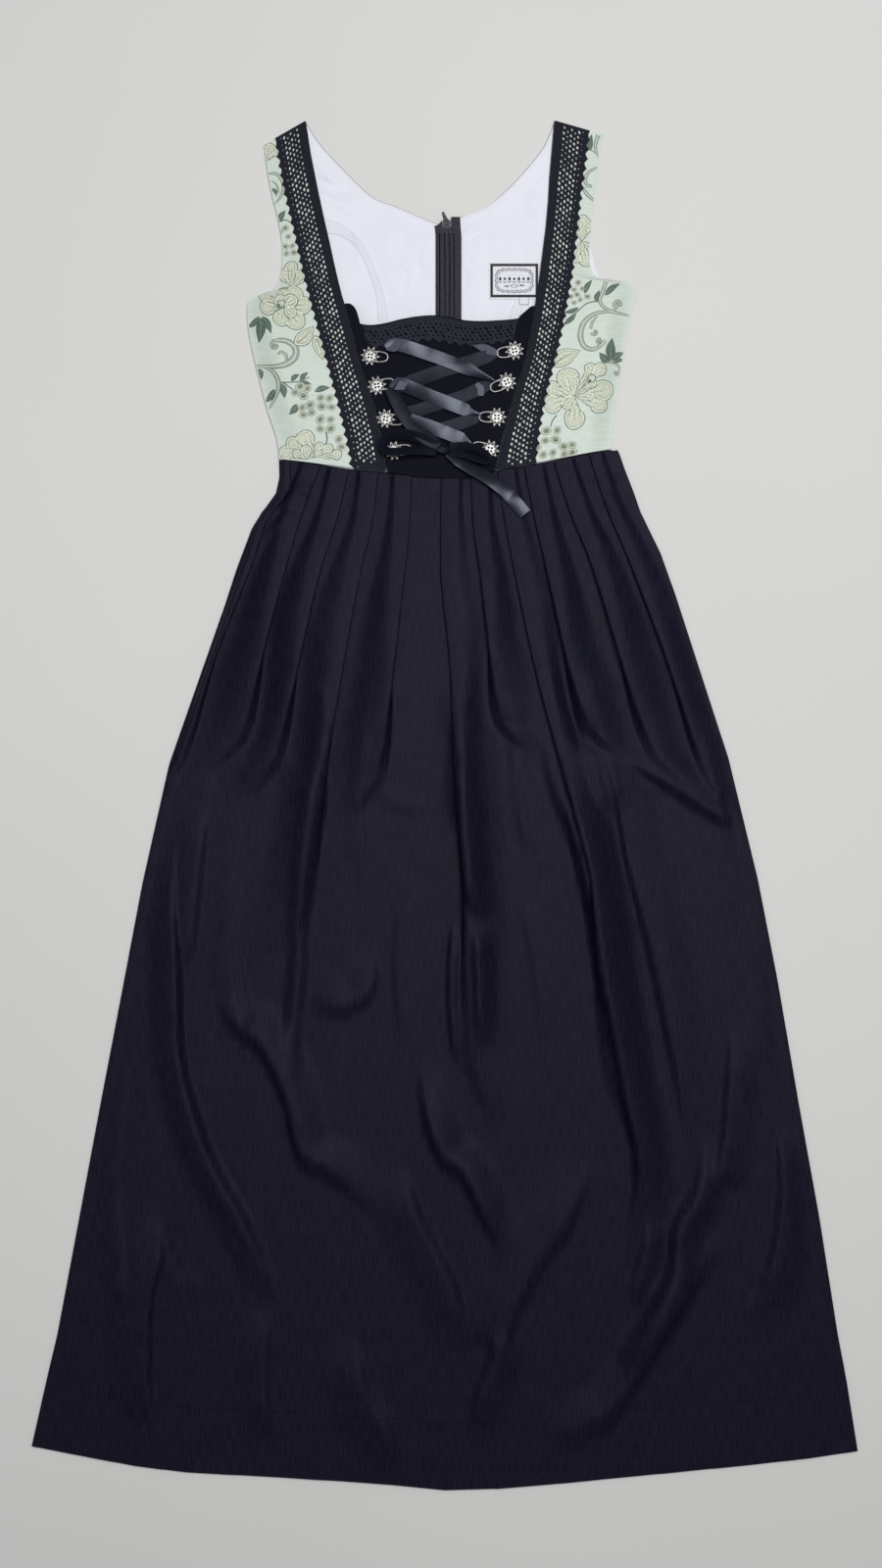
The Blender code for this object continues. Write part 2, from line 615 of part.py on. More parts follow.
def plastron_lace(group, columns=22):
    """The crochet strip under the neckline, with its zigzag lower edge."""
    rows = []
    for t in (0.0, 0.5, 1.0):
        line = []
        for c in range(columns + 1):
            u = c / columns
            guess = -86.0 + u * 162.0
            top = along(PLASTRON_NECK, guess) - 1.2
            belly = 3.0 * math.sin(math.pi * u)
            zig = CROCHET_ZIGZAG * (0.5 if c % 2 else -0.5)
            y = top - t * (CROCHET_DEPTH - 8.0 + belly + zig)
            low = band_inner(y, True) + 0.4
            high = band_inner(y, False) - 0.4
            line.append(put(low + u * (high - low), y, COTTON + SEAM_GAP))
        rows.append(line)
    return sheet("plastron_lace", group, rows, LACE, "lace")


# ----------------------------------------------------------------- zip, label
def zip_tape(name, group, table):
    """One half of the zip's tape on the lining."""
    rows = [[(a, y, TAPE_FLOOR), ((a + b) / 2, y, TAPE_FLOOR),
             (b, y, TAPE_FLOOR)] for a, b, y in table]
    return sheet(name, group, rows, TAPE, "zip_tape")


def plate(name, group, outline, floor, top, material, holes=()):
    """A flat plate from an outline in the XY plane, with round holes."""
    curve = bpy.data.curves.new(name, "CURVE")
    curve.dimensions = "2D"
    curve.fill_mode = "BOTH"
    curve.extrude = (top - floor) / 2 * MM
    loops = [outline]
    for cx, cy, radius in holes:
        loops.append([(cx + radius * math.cos(a * math.pi / 4),
                       cy + radius * math.sin(a * math.pi / 4))
                      for a in range(8)])
    for loop in loops:
        spline = curve.splines.new("POLY")
        spline.points.add(len(loop) - 1)
        for point, (x, y) in zip(spline.points, loop):
            point.co = (x * MM, y * MM, 0.0, 1.0)
        spline.use_cyclic_u = True
    item = bpy.data.objects.new(name, curve)
    item.location = (0.0, 0.0, (floor + top) / 2 * MM)
    curve.materials.append(finish(material))
    group.objects.link(item)
    return item


def solid_plate(name, group, outline, floor, top, material, holes=(),
                pivot=(0.0, 0.0, 0.0)):
    """The same plate as a welded mesh with its origin at a pivot."""
    source = plate(name + "_outline", group, outline, floor, top, material,
                   holes)
    bpy.context.view_layer.update()
    graph = bpy.context.evaluated_depsgraph_get()
    mesh = bpy.data.meshes.new_from_object(source.evaluated_get(graph))
    mesh.name = name
    shape = bmesh.new()
    shape.from_mesh(mesh)
    bmesh.ops.remove_doubles(shape, verts=shape.verts, dist=0.00002)
    bmesh.ops.translate(shape, verts=shape.verts,
                        vec=source.location - Vector(pivot))
    bmesh.ops.recalc_face_normals(shape, faces=shape.faces)
    shape.to_mesh(mesh)
    shape.free()
    bpy.data.objects.remove(source, do_unlink=True)
    item = bpy.data.objects.new(name, mesh)
    item.location = pivot
    group.objects.link(item)
    return item


def slider(group):
    """The zip's slider: a five-sided body with two lugs for the pull."""
    body = solid_plate("zip_slider", group, SLIDER_OUTLINE, SLIDER_FLOOR,
                       SLIDER_TOP, "zip_metal")
    width, length = LUG
    lugs = []
    for x in (PULL_X[0] - SEAM_GAP - width, PULL_X[1] + SEAM_GAP):
        y = PULL_HINGE_Y - length / 2
        outline = [(x, y), (x + width, y), (x + width, y + length),
                   (x, y + length)]
        lugs.append(solid_plate("lug", group, outline, 0.05,
                                SLIDER_FLOOR + 0.6, "zip_metal"))
    for lug in lugs:
        union = body.modifiers.new("lug", "BOOLEAN")
        union.operation = "UNION"
        union.object = lug
        lug.hide_render = True
        lug.display_type = "WIRE"
    return body


def pull_tab(group):
    """The pull tab: a pointed plate hinged at its lower end."""
    low, high = PULL_X
    tip_x, tip_y = PULL_TIP
    y0 = PULL_HINGE_Y
    outline = [(low, y0 - 0.5), (high, y0 - 0.5), (high, y0 + 6.0),
               (high - 1.4, y0 + 9.6), (tip_x + 1.5, tip_y - 2.0),
               (tip_x + 0.7, tip_y), (tip_x - 0.7, tip_y),
               (tip_x - 1.4, tip_y - 2.0), (low - 0.6, y0 + 8.0),
               (low, y0 + 5.0)]
    hole = (tip_x + 0.15, tip_y - 2.6, PULL_HOLE)
    centre = (low + high) / 2 * MM
    return solid_plate("zip_pull", group, outline, 0.05, 0.05 + PULL_THICK,
                       "zip_metal", [hole],
                       (centre, y0 * MM, (0.05 + PULL_THICK / 2) * MM))


def label(group):
    """The sewn label and its small tab, flat on the right back lining."""
    floor = TAPE_FLOOR
    for name, (x0, x1, y0, y1) in (("label", LABEL),
                                   ("label_tab", LABEL_TAB)):
        solid_plate(name, group, [(x0, y0), (x1, y0), (x1, y1), (x0, y1)],
                    floor, floor + LABEL_WALL, "label")


# ------------------------------------------------------------ hooks, ribbons
def hook_outline():
    """A star-shaped flower with an open wire loop on its +X side."""
    points = []
    steps = HOOK_PETALS * 2
    for k in range(1, steps):
        angle = math.radians(18.0 + 360.0 * k / steps)
        radius = HOOK_RADIUS if k % 2 else HOOK_WAIST
        points.append((radius * math.cos(angle), radius * math.sin(angle)))
    arm_in = [(6.4, 3.0), (13.0, 3.4), (15.2, 2.0), (15.9, 0.0),
              (15.0, -2.2), (12.6, -3.2)]
    arm_out = [(12.6, -4.8), (16.0, -3.4), (17.5, 0.0), (16.4, 3.2),
               (13.4, 5.0), (6.6, 4.6)]
    return points + arm_in + arm_out


def hooks(group):
    """Eight hooks on the bands, each level over the cloth below it."""
    outline = hook_outline()
    shared = None
    for hook in HOOKS:
        turn = math.radians(hook.turn)
        top = max(front_height(hook.x + x * math.cos(turn) - y * math.sin(turn),
                               hook.y + x * math.sin(turn) + y * math.cos(turn))
                  for x, y in outline)
        z = top + FIRST_LEVEL + HOOK_WALL / 2
        if shared is None:
            item = solid_plate(hook.name, group, outline, -HOOK_WALL / 2,
                               HOOK_WALL / 2, "silver")
            shared = item.data
        else:
            item = bpy.data.objects.new(hook.name, shared)
            group.objects.link(item)
        item.location = (hook.x * MM, hook.y * MM, z * MM)
        item.rotation_euler = (0.0, 0.0, turn)


def smooth_line(points, count):
    """Evenly shared points of a smooth line through a few given ones."""
    keys = [float(k) for k in range(len(points))]
    xs, ys = [p[0] for p in points], [p[1] for p in points]
    last = len(points) - 1
    return [(lookup(keys, xs, last * k / count),
             lookup(keys, ys, last * k / count)) for k in range(count + 1)]


def ribbon(name, group, line, width, height):
    """A flat ribbon along a line; height gives z at a point."""
    rows = []
    for k, (x, y) in enumerate(line):
        a, b = line[max(k - 1, 0)], line[min(k + 1, len(line) - 1)]
        run = math.dist(a, b)
        ux, uy = (b[0] - a[0]) / run, (b[1] - a[1]) / run
        row = []
        for t in (-0.5, 0.0, 0.5):
            px, py = x - uy * width * t, y + ux * width * t
            row.append((px, py, height(px, py, k / (len(line) - 1))))
        rows.append(row)
    return sheet(name, group, orient(rows), RIBBON, "satin")


def orient(rows):
    """Turn the rows so that the sheet's face points up."""
    a, b, c = rows[0][0], rows[1][0], rows[0][-1]
    cross = ((b[0] - a[0]) * (c[1] - a[1]) - (b[1] - a[1]) * (c[0] - a[0]))
    return rows if cross > 0 else [list(reversed(row)) for row in rows]


def level_height(level):
    """Height function of one ribbon level."""
    return lambda x, y, t: (front_height(x, y) + FIRST_LEVEL
                            + level * LEVEL_STEP)


def stretches(group):
    """The crossing stretches of ribbon between the hooks."""
    for item in STRETCHES:
        line = smooth_line([item.a, item.b, item.c, item.d], 8)
        ribbon(item.name, group, line, item.width, level_height(item.level))


def knot(group):
    """The knot, a soft pillow that the loops and the tail leave."""
    x, y, length, width, height = KNOT
    bpy.ops.mesh.primitive_cube_add(size=1.0)
    item = bpy.context.object
    item.name = item.data.name = "ribbon_knot"
    for vert in item.data.vertices:
        vert.co.x *= length * MM
        vert.co.y *= width * MM
        vert.co.z *= height * MM
    floor = front_height(x, y) + FIRST_LEVEL
    item.location = (x * MM, y * MM, (floor + height / 2) * MM)
    item.rotation_euler = (0.0, 0.0, math.radians(-8.0))
    soft = item.modifiers.new("round", "BEVEL")
    soft.width = 2.2 * MM
    soft.segments = 2
    item.data.materials.append(finish("satin"))
    for old in list(item.users_collection):
        old.objects.unlink(item)
    group.objects.link(item)


def bow_loop(name, group, start, end, width, floor_level):
    """One bow loop: out along the cloth, round, and back above itself."""
    length = math.dist(start, end)
    ux, uy = (end[0] - start[0]) / length, (end[1] - start[1]) / length
    radius = LOOP_RISE / 2
    profile = [(length * k / 5, 0.0) for k in range(6)]
    profile += [(length + radius * math.sin(math.pi * k / 4),
                 radius - radius * math.cos(math.pi * k / 4))
                for k in (1, 2, 3)]
    profile += [(length * k / 5, 2 * radius) for k in (5, 4, 3, 2, 1, 0)]
    rows = []
    for s, rise in profile:
        x, y = start[0] + ux * s, start[1] + uy * s
        share = 0.72 + 0.28 * math.sin(math.pi * min(s / length, 1.0))
        base = (front_height(x, y) + FIRST_LEVEL
                + floor_level * LEVEL_STEP + RIBBON / 2)
        rows.append([(x - uy * width * share * t, y + ux * width * share * t,
                      base + rise) for t in (-0.5, 0.0, 0.5)])
    return sheet(name, group, orient(rows), RIBBON, "satin", 0.0)


def tail(group):
    """The free end, from the knot down over the waist onto the pleats."""
    line = smooth_line(TAIL, 10)

    def height(x, y, t):
        waist = front_height(x, max(y, 322.0)) + FIRST_LEVEL
        skirt = SKIRT_FLOOR + 4 * 0.68 + COTTON / 2 + 3.6
        return waist + (skirt - waist) * smoothstep(t * 1.5)

    ribbon("ribbon_tail", group, line, RIBBON_WIDTH, height)


# -------------------------------------------------------------------- skirt
def opening_at(share, column):
    """A column of the pleat-opening table at a share of the reach."""
    return straight([row.share for row in PLEAT_OPENING],
                    [getattr(row, column) for row in PLEAT_OPENING], share)


def slant(pleat, depth):
    """How much wider the section of a slanting fold is than its turn."""
    side = "left" if pleat.faces > 0 else "right"
    if pleat in (PLEATS[0], PLEATS[-1]):
        rows = [by_y(SKIRT, side, SKIRT[0].y - depth - d) for d in (-9, 9)]
    else:
        rows = [pleat_x(pleat, max(depth + d, 0.0)) for d in (-9, 9)]
    return math.hypot(1.0, (rows[1] - rows[0]) / 18.0)


def pleat_fold(pleat, depth, steps):
    """The fold's own section as (x, z) offsets from its crisp edge, walking
    towards +X, and the height it steps down. The fold faces +X here."""
    share = min(depth / pleat.reach, 1.0)
    turn = math.radians(opening_at(share, "turn"))
    radius = opening_at(share, "radius") * slant(pleat, depth)
    tuck = pleat.tuck * opening_at(share, "tuck")
    drop = 2 * radius * (1 - math.cos(turn)) + tuck * math.sin(turn)
    cx, cz = -radius, drop - radius
    points = [(cx + radius * math.sin(turn * k / steps),
               cz + radius * math.cos(turn * k / steps))
              for k in range(steps + 1)]
    end_x = points[-1][0] + tuck * math.cos(turn)
    end_z = points[-1][1] - tuck * math.sin(turn)
    c2x = end_x + radius * math.sin(turn)
    c2z = end_z + radius * math.cos(turn)
    for k in range(steps + 1):
        angle = turn * (1 - k / steps)
        points.append((c2x - radius * math.sin(angle),
                       c2z - radius * math.cos(angle)))
    return points, drop, -min(x for x, _ in points)


def pleat_x(pleat, depth):
    """x of a pleat's crisp edge at a depth below the waist; lower down its
    line fans out with the skirt's own side."""
    xs = [pleat.x0, pleat.x1, pleat.x2, pleat.x3, pleat.x4, pleat.x5]
    last = PLEAT_DEPTHS[-1]
    if depth <= last:
        return lookup(list(PLEAT_DEPTHS), xs, depth)
    side = "left" if xs[-1] < 0 else "right"
    spread = (by_y(SKIRT, side, SKIRT[0].y - depth)
              / by_y(SKIRT, side, SKIRT[0].y - last))
    return xs[-1] * spread


def half_section(edge, pleats, depth, steps, between):
    """Section of one half of the skirt front, from its side edge inwards;
    every pleat faces +X."""
    section = [(edge, 0.0)]
    start = edge
    for pleat in pleats:
        x = pleat_x(pleat, depth) * (1 if pleat.faces > 0 else -1)
        fold, drop, reach = pleat_fold(pleat, depth, steps)
        x = max(x, start + reach + PLEAT_RUN)
        run_end = x - reach - 0.4
        gentle = smoothstep(depth / 260.0)
        run = min(6.0 + gentle * 40.0, run_end - start - 0.8)
        run_start = run_end - run
        section.append((run_start, 0.0))
        for k in range(1, between + 1):
            s = k / between
            section.append((run_start + s * run, drop * smoothstep(s)))
        section.extend((x + fx, fz) for fx, fz in fold)
        start = x + fold[-1][0]
    return section


def soft_height(x, y, left, right):
    """How high the laid skirt stands at a point, with its soft folds."""
    inside = min(x - left, right - x)
    height = (by_y(FULLNESS, "height", y)
              * smoothstep(inside / FULLNESS_RUN))
    relief = sum(fold_relief(fold, x, y) for fold in FOLDS)
    return height + relief * smoothstep(inside / 30.0)


def fold_relief(fold, x, y):
    """Height that one soft fold adds at a point, fading at its ends."""
    reach = 4.5 * fold.half
    xs, ys = (fold.x0, fold.x1, fold.x2), (fold.y0, fold.y1, fold.y2)
    if not (min(xs) - reach < x < max(xs) + reach
            and min(ys) - reach < y < max(ys) + reach):
        return 0.0
    best, place, side = 1e9, 0.0, 0.0
    ends = list(zip(xs, ys))
    for k, (a, b) in enumerate(zip(ends, ends[1:])):
        dx, dy = b[0] - a[0], b[1] - a[1]
        t = ((x - a[0]) * dx + (y - a[1]) * dy) / (dx * dx + dy * dy)
        t = min(max(t, 0.0), 1.0)
        gap = math.hypot(x - a[0] - t * dx, y - a[1] - t * dy)
        if gap < best:
            best, place = gap, (k + t) / 2
            side = (dx * (y - a[1]) - dy * (x - a[0])) / math.hypot(dx, dy)
    width = fold.half * (1.275 + 0.425 * side / max(best, 0.01))
    fade = math.sin(math.pi * (0.05 + 0.90 * place)) ** 0.8
    return fold.height * fade * math.exp(-(best / width) ** 2)


def skirt_rows(depths, steps, between, middle):
    """Rows of middle-surface points of the skirt front, waist to hem."""
    total = SKIRT[0].y - SKIRT[-1].y
    left_half = [p for p in PLEATS if p.faces > 0]
    right_half = [p for p in reversed(PLEATS) if p.faces < 0]
    rows = []
    for depth in depths:
        level = SKIRT[0].y - depth
        left = by_y(SKIRT, "left", level)
        right = by_y(SKIRT, "right", level)
        a = half_section(left, left_half, depth, steps, between)
        b = half_section(-right, right_half, depth, steps, between)
        b = [(-x, z) for x, z in reversed(b)]
        gap = [(a[-1][0] + (b[0][0] - a[-1][0]) * (k + 1) / (middle + 1), 0.0)
               for k in range(middle)]
        share = depth / total
        row = []
        for x, z in a + gap + b:
            waist = along(WAIST_SEAM, x * 162.2 / max(-left, right)) - SEAM_GAP
            hem = along(HEM, x * 404.2 / max(-left, right))
            y = (level + (waist - SKIRT[0].y) * (1 - share) ** 3
                 + (hem - SKIRT[-1].y) * share ** 3)
            row.append((x, y, SKIRT_FLOOR + z
                        + soft_height(x, y, left, right)))
        rows.append(row)
    return rows


SKIRT_DEPTHS = (0.0, 14.0, 26.4, 38.4, 50.4, 70.0, 105.0, 150.0, 200.0, 255.0,
                315.0, 380.0, 450.0, 525.0, 605.0, 690.0, 780.0, 870.0,
                964.8)


def skirt_front(group):
    """The pleated front panel."""
    rows = skirt_rows(SKIRT_DEPTHS, 3, 1, 1)
    return sheet("skirt_front", group, rows, COTTON, "cotton", 0.0)


def skirt_back(group, columns=16):
    """The back panel, flat on the floor under the front."""
    total = SKIRT[0].y - SKIRT[-1].y
    rows = []
    for level in SKIRT:
        share = (SKIRT[0].y - level.y) / total
        row = []
        for c in range(columns + 1):
            x = level.left + (level.right - level.left) * c / columns
            wide = max(-level.left, level.right)
            waist = along(WAIST_SEAM, x * 162.2 / wide) - SEAM_GAP
            hem = along(HEM, x * 404.2 / wide)
            y = (level.y + (waist - SKIRT[0].y) * (1 - share) ** 3
                 + (hem - SKIRT[-1].y) * share ** 3)
            row.append((x, y, 0.0))
        rows.append(row)
    return sheet("skirt_back", group, rows, SKIRT_BACK, "cotton")


# ----------------------------------------------------------------- the dress
def build():
    """Every piece of the dress, back to front."""
    clear_scene()
    dress = collection("dirndl_dress")
    back_half("bodice_back_left", dress, BACK_LEFT, True, 0.0, BROCADE, 0.0,
              None, "brocade")
    back_half("bodice_back_right", dress, BACK_RIGHT, False, 0.0, BROCADE,
              0.0, None, "brocade")
    back_half("lining_back_left", dress, BACK_LEFT, True, LINING_FLOOR,
              LINING, LINING_INSET, LINING_SLOT[0], "lining")
    back_half("lining_back_right", dress, BACK_RIGHT, False, LINING_FLOOR,
              LINING, LINING_INSET, LINING_SLOT[1], "lining")
    zip_tape("zip_tape_left", dress, TAPE_LEFT)
    zip_tape("zip_tape_right", dress, TAPE_RIGHT)
    slider(dress)
    pull_tab(dress)
    label(dress)
    front_panel("bodice_front_left", dress, FRONT_LEFT, True)
    front_panel("bodice_front_right", dress, FRONT_RIGHT, False)
    lace_strip("lace_left", dress, FRONT_LEFT, True)
    lace_strip("lace_right", dress, FRONT_RIGHT, False)
    plastron(dress)
    front_band("front_band_left", dress, FRONT_LEFT, BAND_LEFT, True)
    front_band("front_band_right", dress, FRONT_RIGHT, BAND_RIGHT, False)
    plastron_lace(dress)
    hooks(dress)
    stretches(dress)
    knot(dress)
    bow_loop("ribbon_loop_left", dress, *LOOP_LEFT, 2)
    bow_loop("ribbon_loop_right", dress, *LOOP_RIGHT, 1)
    tail(dress)
    skirt_front(dress)
    skirt_back(dress)


build()
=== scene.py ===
# %% [markdown]
# # A dirndl dress, laid flat
# The dress lies on its back on a pale floor.  Its bodice is mint brocade over
# a white lined back, its front is laced over a dark plastron, and a long
# pleated skirt hangs from the waist seam.  Each cell below makes one piece or
# one finish.  All sizes are in millimetres until a mesh is made.  The outlines
# are read from the solids that this lesson starts from, and what no solid
# shows, such as a fold or a stitch, is placed one by one.

# %% Load the solids and keep their box
import math
import random
from collections import namedtuple

import bmesh
import bpy
import numpy as np
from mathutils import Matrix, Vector
from mathutils.geometry import delaunay_2d_cdt


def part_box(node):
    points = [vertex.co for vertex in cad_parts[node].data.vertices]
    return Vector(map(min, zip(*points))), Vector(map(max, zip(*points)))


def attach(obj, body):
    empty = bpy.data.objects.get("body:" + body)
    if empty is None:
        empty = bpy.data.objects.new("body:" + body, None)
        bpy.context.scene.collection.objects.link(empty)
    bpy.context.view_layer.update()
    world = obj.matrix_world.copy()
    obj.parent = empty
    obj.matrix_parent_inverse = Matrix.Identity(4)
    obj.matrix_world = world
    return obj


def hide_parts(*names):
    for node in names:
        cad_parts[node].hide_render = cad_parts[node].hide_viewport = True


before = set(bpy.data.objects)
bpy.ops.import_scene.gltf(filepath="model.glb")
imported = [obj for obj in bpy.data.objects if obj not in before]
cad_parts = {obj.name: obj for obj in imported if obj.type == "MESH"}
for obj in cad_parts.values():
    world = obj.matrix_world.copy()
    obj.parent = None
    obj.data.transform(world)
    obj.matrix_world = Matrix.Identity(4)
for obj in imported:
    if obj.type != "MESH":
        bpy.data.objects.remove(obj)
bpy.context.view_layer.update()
MM = 0.001

# %% [markdown]
# ## Looking straight down
# A dress that is laid out is looked at from above, so the camera hangs over
# it with the shoulders at the top.  A long lens high up keeps the hem and the
# straps from leaning outwards.  The lens follows from two lengths that are
# easy to picture: how high the camera hangs, and how much floor it shows.

# %% Camera over the dress
CAMERA_HEIGHT = 1.9
SEEN_LENGTH = 1.536  # of floor, from the top of the view to its foot
VIEW_CENTRE = (-0.0038, 0.0216)
SENSOR = 36

camera = bpy.data.objects.new("camera", bpy.data.cameras.new("camera"))
camera.data.sensor_width = SENSOR
camera.data.lens = SENSOR * CAMERA_HEIGHT / SEEN_LENGTH
camera.location = (*VIEW_CENTRE, CAMERA_HEIGHT)
bpy.context.scene.collection.objects.link(camera)
bpy.context.scene.camera = camera
print("lens in mm:", round(camera.data.lens, 1))

# %% [markdown]
# ## Soft light from the upper right
# A window beyond the right shoulder gives the dress its form: a large light
# makes soft shadows, and its slant makes every pleat show.  A weaker light
# from the left and an even grey world fill the shadows.  Standard colour
# management keeps the dark cloth as dark as its finish says.

# %% Lights, world and floor
FLOOR_SIZE = 8
FLOOR_GAP = 0.0002  # keeps the floor clear of the cloth
WORLD_COLOUR, WORLD_STRENGTH = (0.97, 0.98, 1, 1), 0.2


def area_light(name, place, size, power, colour, aim=(0, 0, 0)):
    """A square light that looks at a point of the floor."""
    lamp = bpy.data.lights.new(name, "AREA")
    lamp.size = size
    lamp.energy = power
    lamp.color = colour
    item = bpy.data.objects.new(name, lamp)
    item.location = place
    toward = Vector(aim) - item.location
    item.rotation_euler = toward.to_track_quat("-Z", "Y").to_euler()
    bpy.context.scene.collection.objects.link(item)


def set_input(node, name, value):
    """Set one socket of a node by its name."""
    node.inputs[name].default_value = value


area_light("softbox", (0.35, 0.6, 2.6), 1.2, 56, (1, 0.995, 0.98), (0.05, 0.4, 0))
area_light("side_fill", (-1.8, -0.2, 2.2), 2, 5, (0.97, 0.98, 1))

world = bpy.data.worlds.new("studio")
world.use_nodes = True
background = world.node_tree.nodes["Background"]
set_input(background, "Color", WORLD_COLOUR)
set_input(background, "Strength", WORLD_STRENGTH)
bpy.context.scene.world = world
bpy.context.scene.view_settings.view_transform = "Standard"

bpy.ops.mesh.primitive_plane_add(size=FLOOR_SIZE, location=(0, 0, -FLOOR_GAP))
floor = bpy.context.object
floor.name = "floor"

# %% [markdown]
# ## Threads as node groups
# Cloth shows its threads in its colour and in its relief.  Three effects
# recur on this dress, so each is a shader node group with named inputs: a
# plain weave, ribs that run one way, and the cloudy unevenness of yarn.  The
# first two give out a height for the relief and the third a mask, by which
# each material mixes its own two colours.

# %% Node group helpers


def new_group(name, inputs, outputs):
    """An empty shader group with float inputs and outputs."""
    group = bpy.data.node_groups.new(name, "ShaderNodeTree")
    for label, value in inputs:
        socket = group.interface.new_socket(label, in_out="INPUT", socket_type="NodeSocketFloat")
        socket.default_value = value
    for label in outputs:
        group.interface.new_socket(label, in_out="OUTPUT", socket_type="NodeSocketFloat")
    start = group.nodes.new("NodeGroupInput")
    end = group.nodes.new("NodeGroupOutput")
    return group, start, end


def maths(group, operation, *values):
    """A maths node; each value is a socket or a plain number."""
    node = group.nodes.new("ShaderNodeMath")
    node.operation = operation
    for socket, value in zip(node.inputs, values):
        if isinstance(value, (int, float)):
            socket.default_value = value
        else:
            group.links.new(value, socket)
    return node.outputs[0]


def place_on_cloth(group):
    """Sockets for x and y on the dress, in metres."""
    where = group.nodes.new("ShaderNodeTexCoord")
    split = group.nodes.new("ShaderNodeSeparateXYZ")
    group.links.new(where.outputs["Object"], split.inputs[0])
    return where.outputs["Object"], split.outputs["X"], split.outputs["Y"]


# %% The plain weave, the ribs and the uneven yarn


def build_weave():
    """Warp and weft that cross: high where a thread passes over."""
    group, start, end = new_group("plain_weave", [("Pitch", 0.0006)], ["Height"])
    _, x, y = place_on_cloth(group)
    waves = []
    for axis in (x, y):
        turns = maths(group, "DIVIDE", axis, start.outputs["Pitch"])
        waves.append(maths(group, "SINE", maths(group, "MULTIPLY", turns, math.pi)))
    crossing = maths(group, "MULTIPLY", *waves)
    group.links.new(maths(group, "ABSOLUTE", crossing), end.inputs["Height"])
    return group


def build_ribs():
    """Ribs along a direction, as in satin, tape and shaded stitches."""
    group, start, end = new_group("thread_ribs", [("Pitch", 0.001), ("Angle", 0)], ["Height"])
    _, x, y = place_on_cloth(group)
    across = maths(group, "ADD",
                   maths(group, "MULTIPLY", x, maths(group, "COSINE", start.outputs["Angle"])),
                   maths(group, "MULTIPLY", y, maths(group, "SINE", start.outputs["Angle"])))
    turns = maths(group, "DIVIDE", across, start.outputs["Pitch"])
    wave = maths(group, "SINE", maths(group, "MULTIPLY", turns, 2 * math.pi))
    group.links.new(maths(group, "MULTIPLY_ADD", wave, 0.5, 0.5), end.inputs["Height"])
    return group


def build_yarn():
    """Slubs and clouds: noise that can be stretched along X or Y."""
    group, start, end = new_group("uneven_yarn", [("Across", 300), ("Along", 60)], ["Mask"])
    where, _, _ = place_on_cloth(group)
    size = group.nodes.new("ShaderNodeCombineXYZ")
    group.links.new(start.outputs["Across"], size.inputs["X"])
    group.links.new(start.outputs["Along"], size.inputs["Y"])
    set_input(size, "Z", 1)
    stretch = group.nodes.new("ShaderNodeVectorMath")
    stretch.operation = "MULTIPLY"
    group.links.new(where, stretch.inputs[0])
    group.links.new(size.outputs[0], stretch.inputs[1])
    noise = group.nodes.new("ShaderNodeTexNoise")
    set_input(noise, "Scale", 1)
    set_input(noise, "Detail", 3)
    group.links.new(stretch.outputs[0], noise.inputs["Vector"])
    group.links.new(noise.outputs[0], end.inputs["Mask"])
    return group


WEAVE, RIBS, YARN = build_weave(), build_ribs(), build_yarn()
print("node groups:", [g.name for g in (WEAVE, RIBS, YARN)])

# %% [markdown]
# ## Finishes
# Every finish is a Principled shader whose colour wanders between a dark and
# a light tone with the yarn, and whose relief comes from the weave or the
# ribs.  One function builds them all, so a finish is a short call that names
# its two tones, its gloss and the size of its threads.

# %% One function for every woven finish


CLOUD_FROM, CLOUD_TO = 0.35, 0.65  # the part of the noise that shows


def group_node(tree, group, **values):
    """Place a group in a material and set its inputs."""
    node = tree.nodes.new("ShaderNodeGroup")
    node.node_tree = group
    for name, value in values.items():
        set_input(node, name, value)
    return node


def finish(name, dark, light, rough, pattern=None, relief=0, across=300, along=60, **shine):
    """A Principled finish: dark and light tone, threads and gloss."""
    material = bpy.data.materials.new(name)
    material.use_nodes = True
    tree = material.node_tree
    shader = tree.nodes["Principled BSDF"]
    yarn = group_node(tree, YARN, Across=across, Along=along)
    ramp = tree.nodes.new("ShaderNodeMapRange")
    set_input(ramp, "From Min", CLOUD_FROM)
    set_input(ramp, "From Max", CLOUD_TO)
    tree.links.new(yarn.outputs["Mask"], ramp.inputs["Value"])
    mix = tree.nodes.new("ShaderNodeMix")
    mix.data_type = "RGBA"
    set_input(mix, "A", (*dark, 1))
    set_input(mix, "B", (*light, 1))
    tree.links.new(ramp.outputs[0], mix.inputs["Factor"])
    tree.links.new(mix.outputs["Result"], shader.inputs["Base Color"])
    set_input(shader, "Roughness", rough)
    if pattern is not None:
        bump = tree.nodes.new("ShaderNodeBump")
        set_input(bump, "Strength", 1)
        set_input(bump, "Distance", relief * MM)
        tree.links.new(pattern(tree), bump.inputs["Height"])
        tree.links.new(bump.outputs["Normal"], shader.inputs["Normal"])
    for socket, value in shine.items():
        set_input(shader, socket.replace("_", " "), value)
    return material


def weave_of(pitch):
    """Relief of a plain weave; pitch in millimetres."""
    return lambda tree: group_node(tree, WEAVE, Pitch=pitch * MM).outputs["Height"]


def ribs_of(pitch, angle):
    """Relief of ribs; pitch in millimetres, angle in degrees from X."""
    return lambda tree: group_node(
        tree, RIBS, Pitch=pitch * MM, Angle=math.radians(angle)).outputs["Height"]


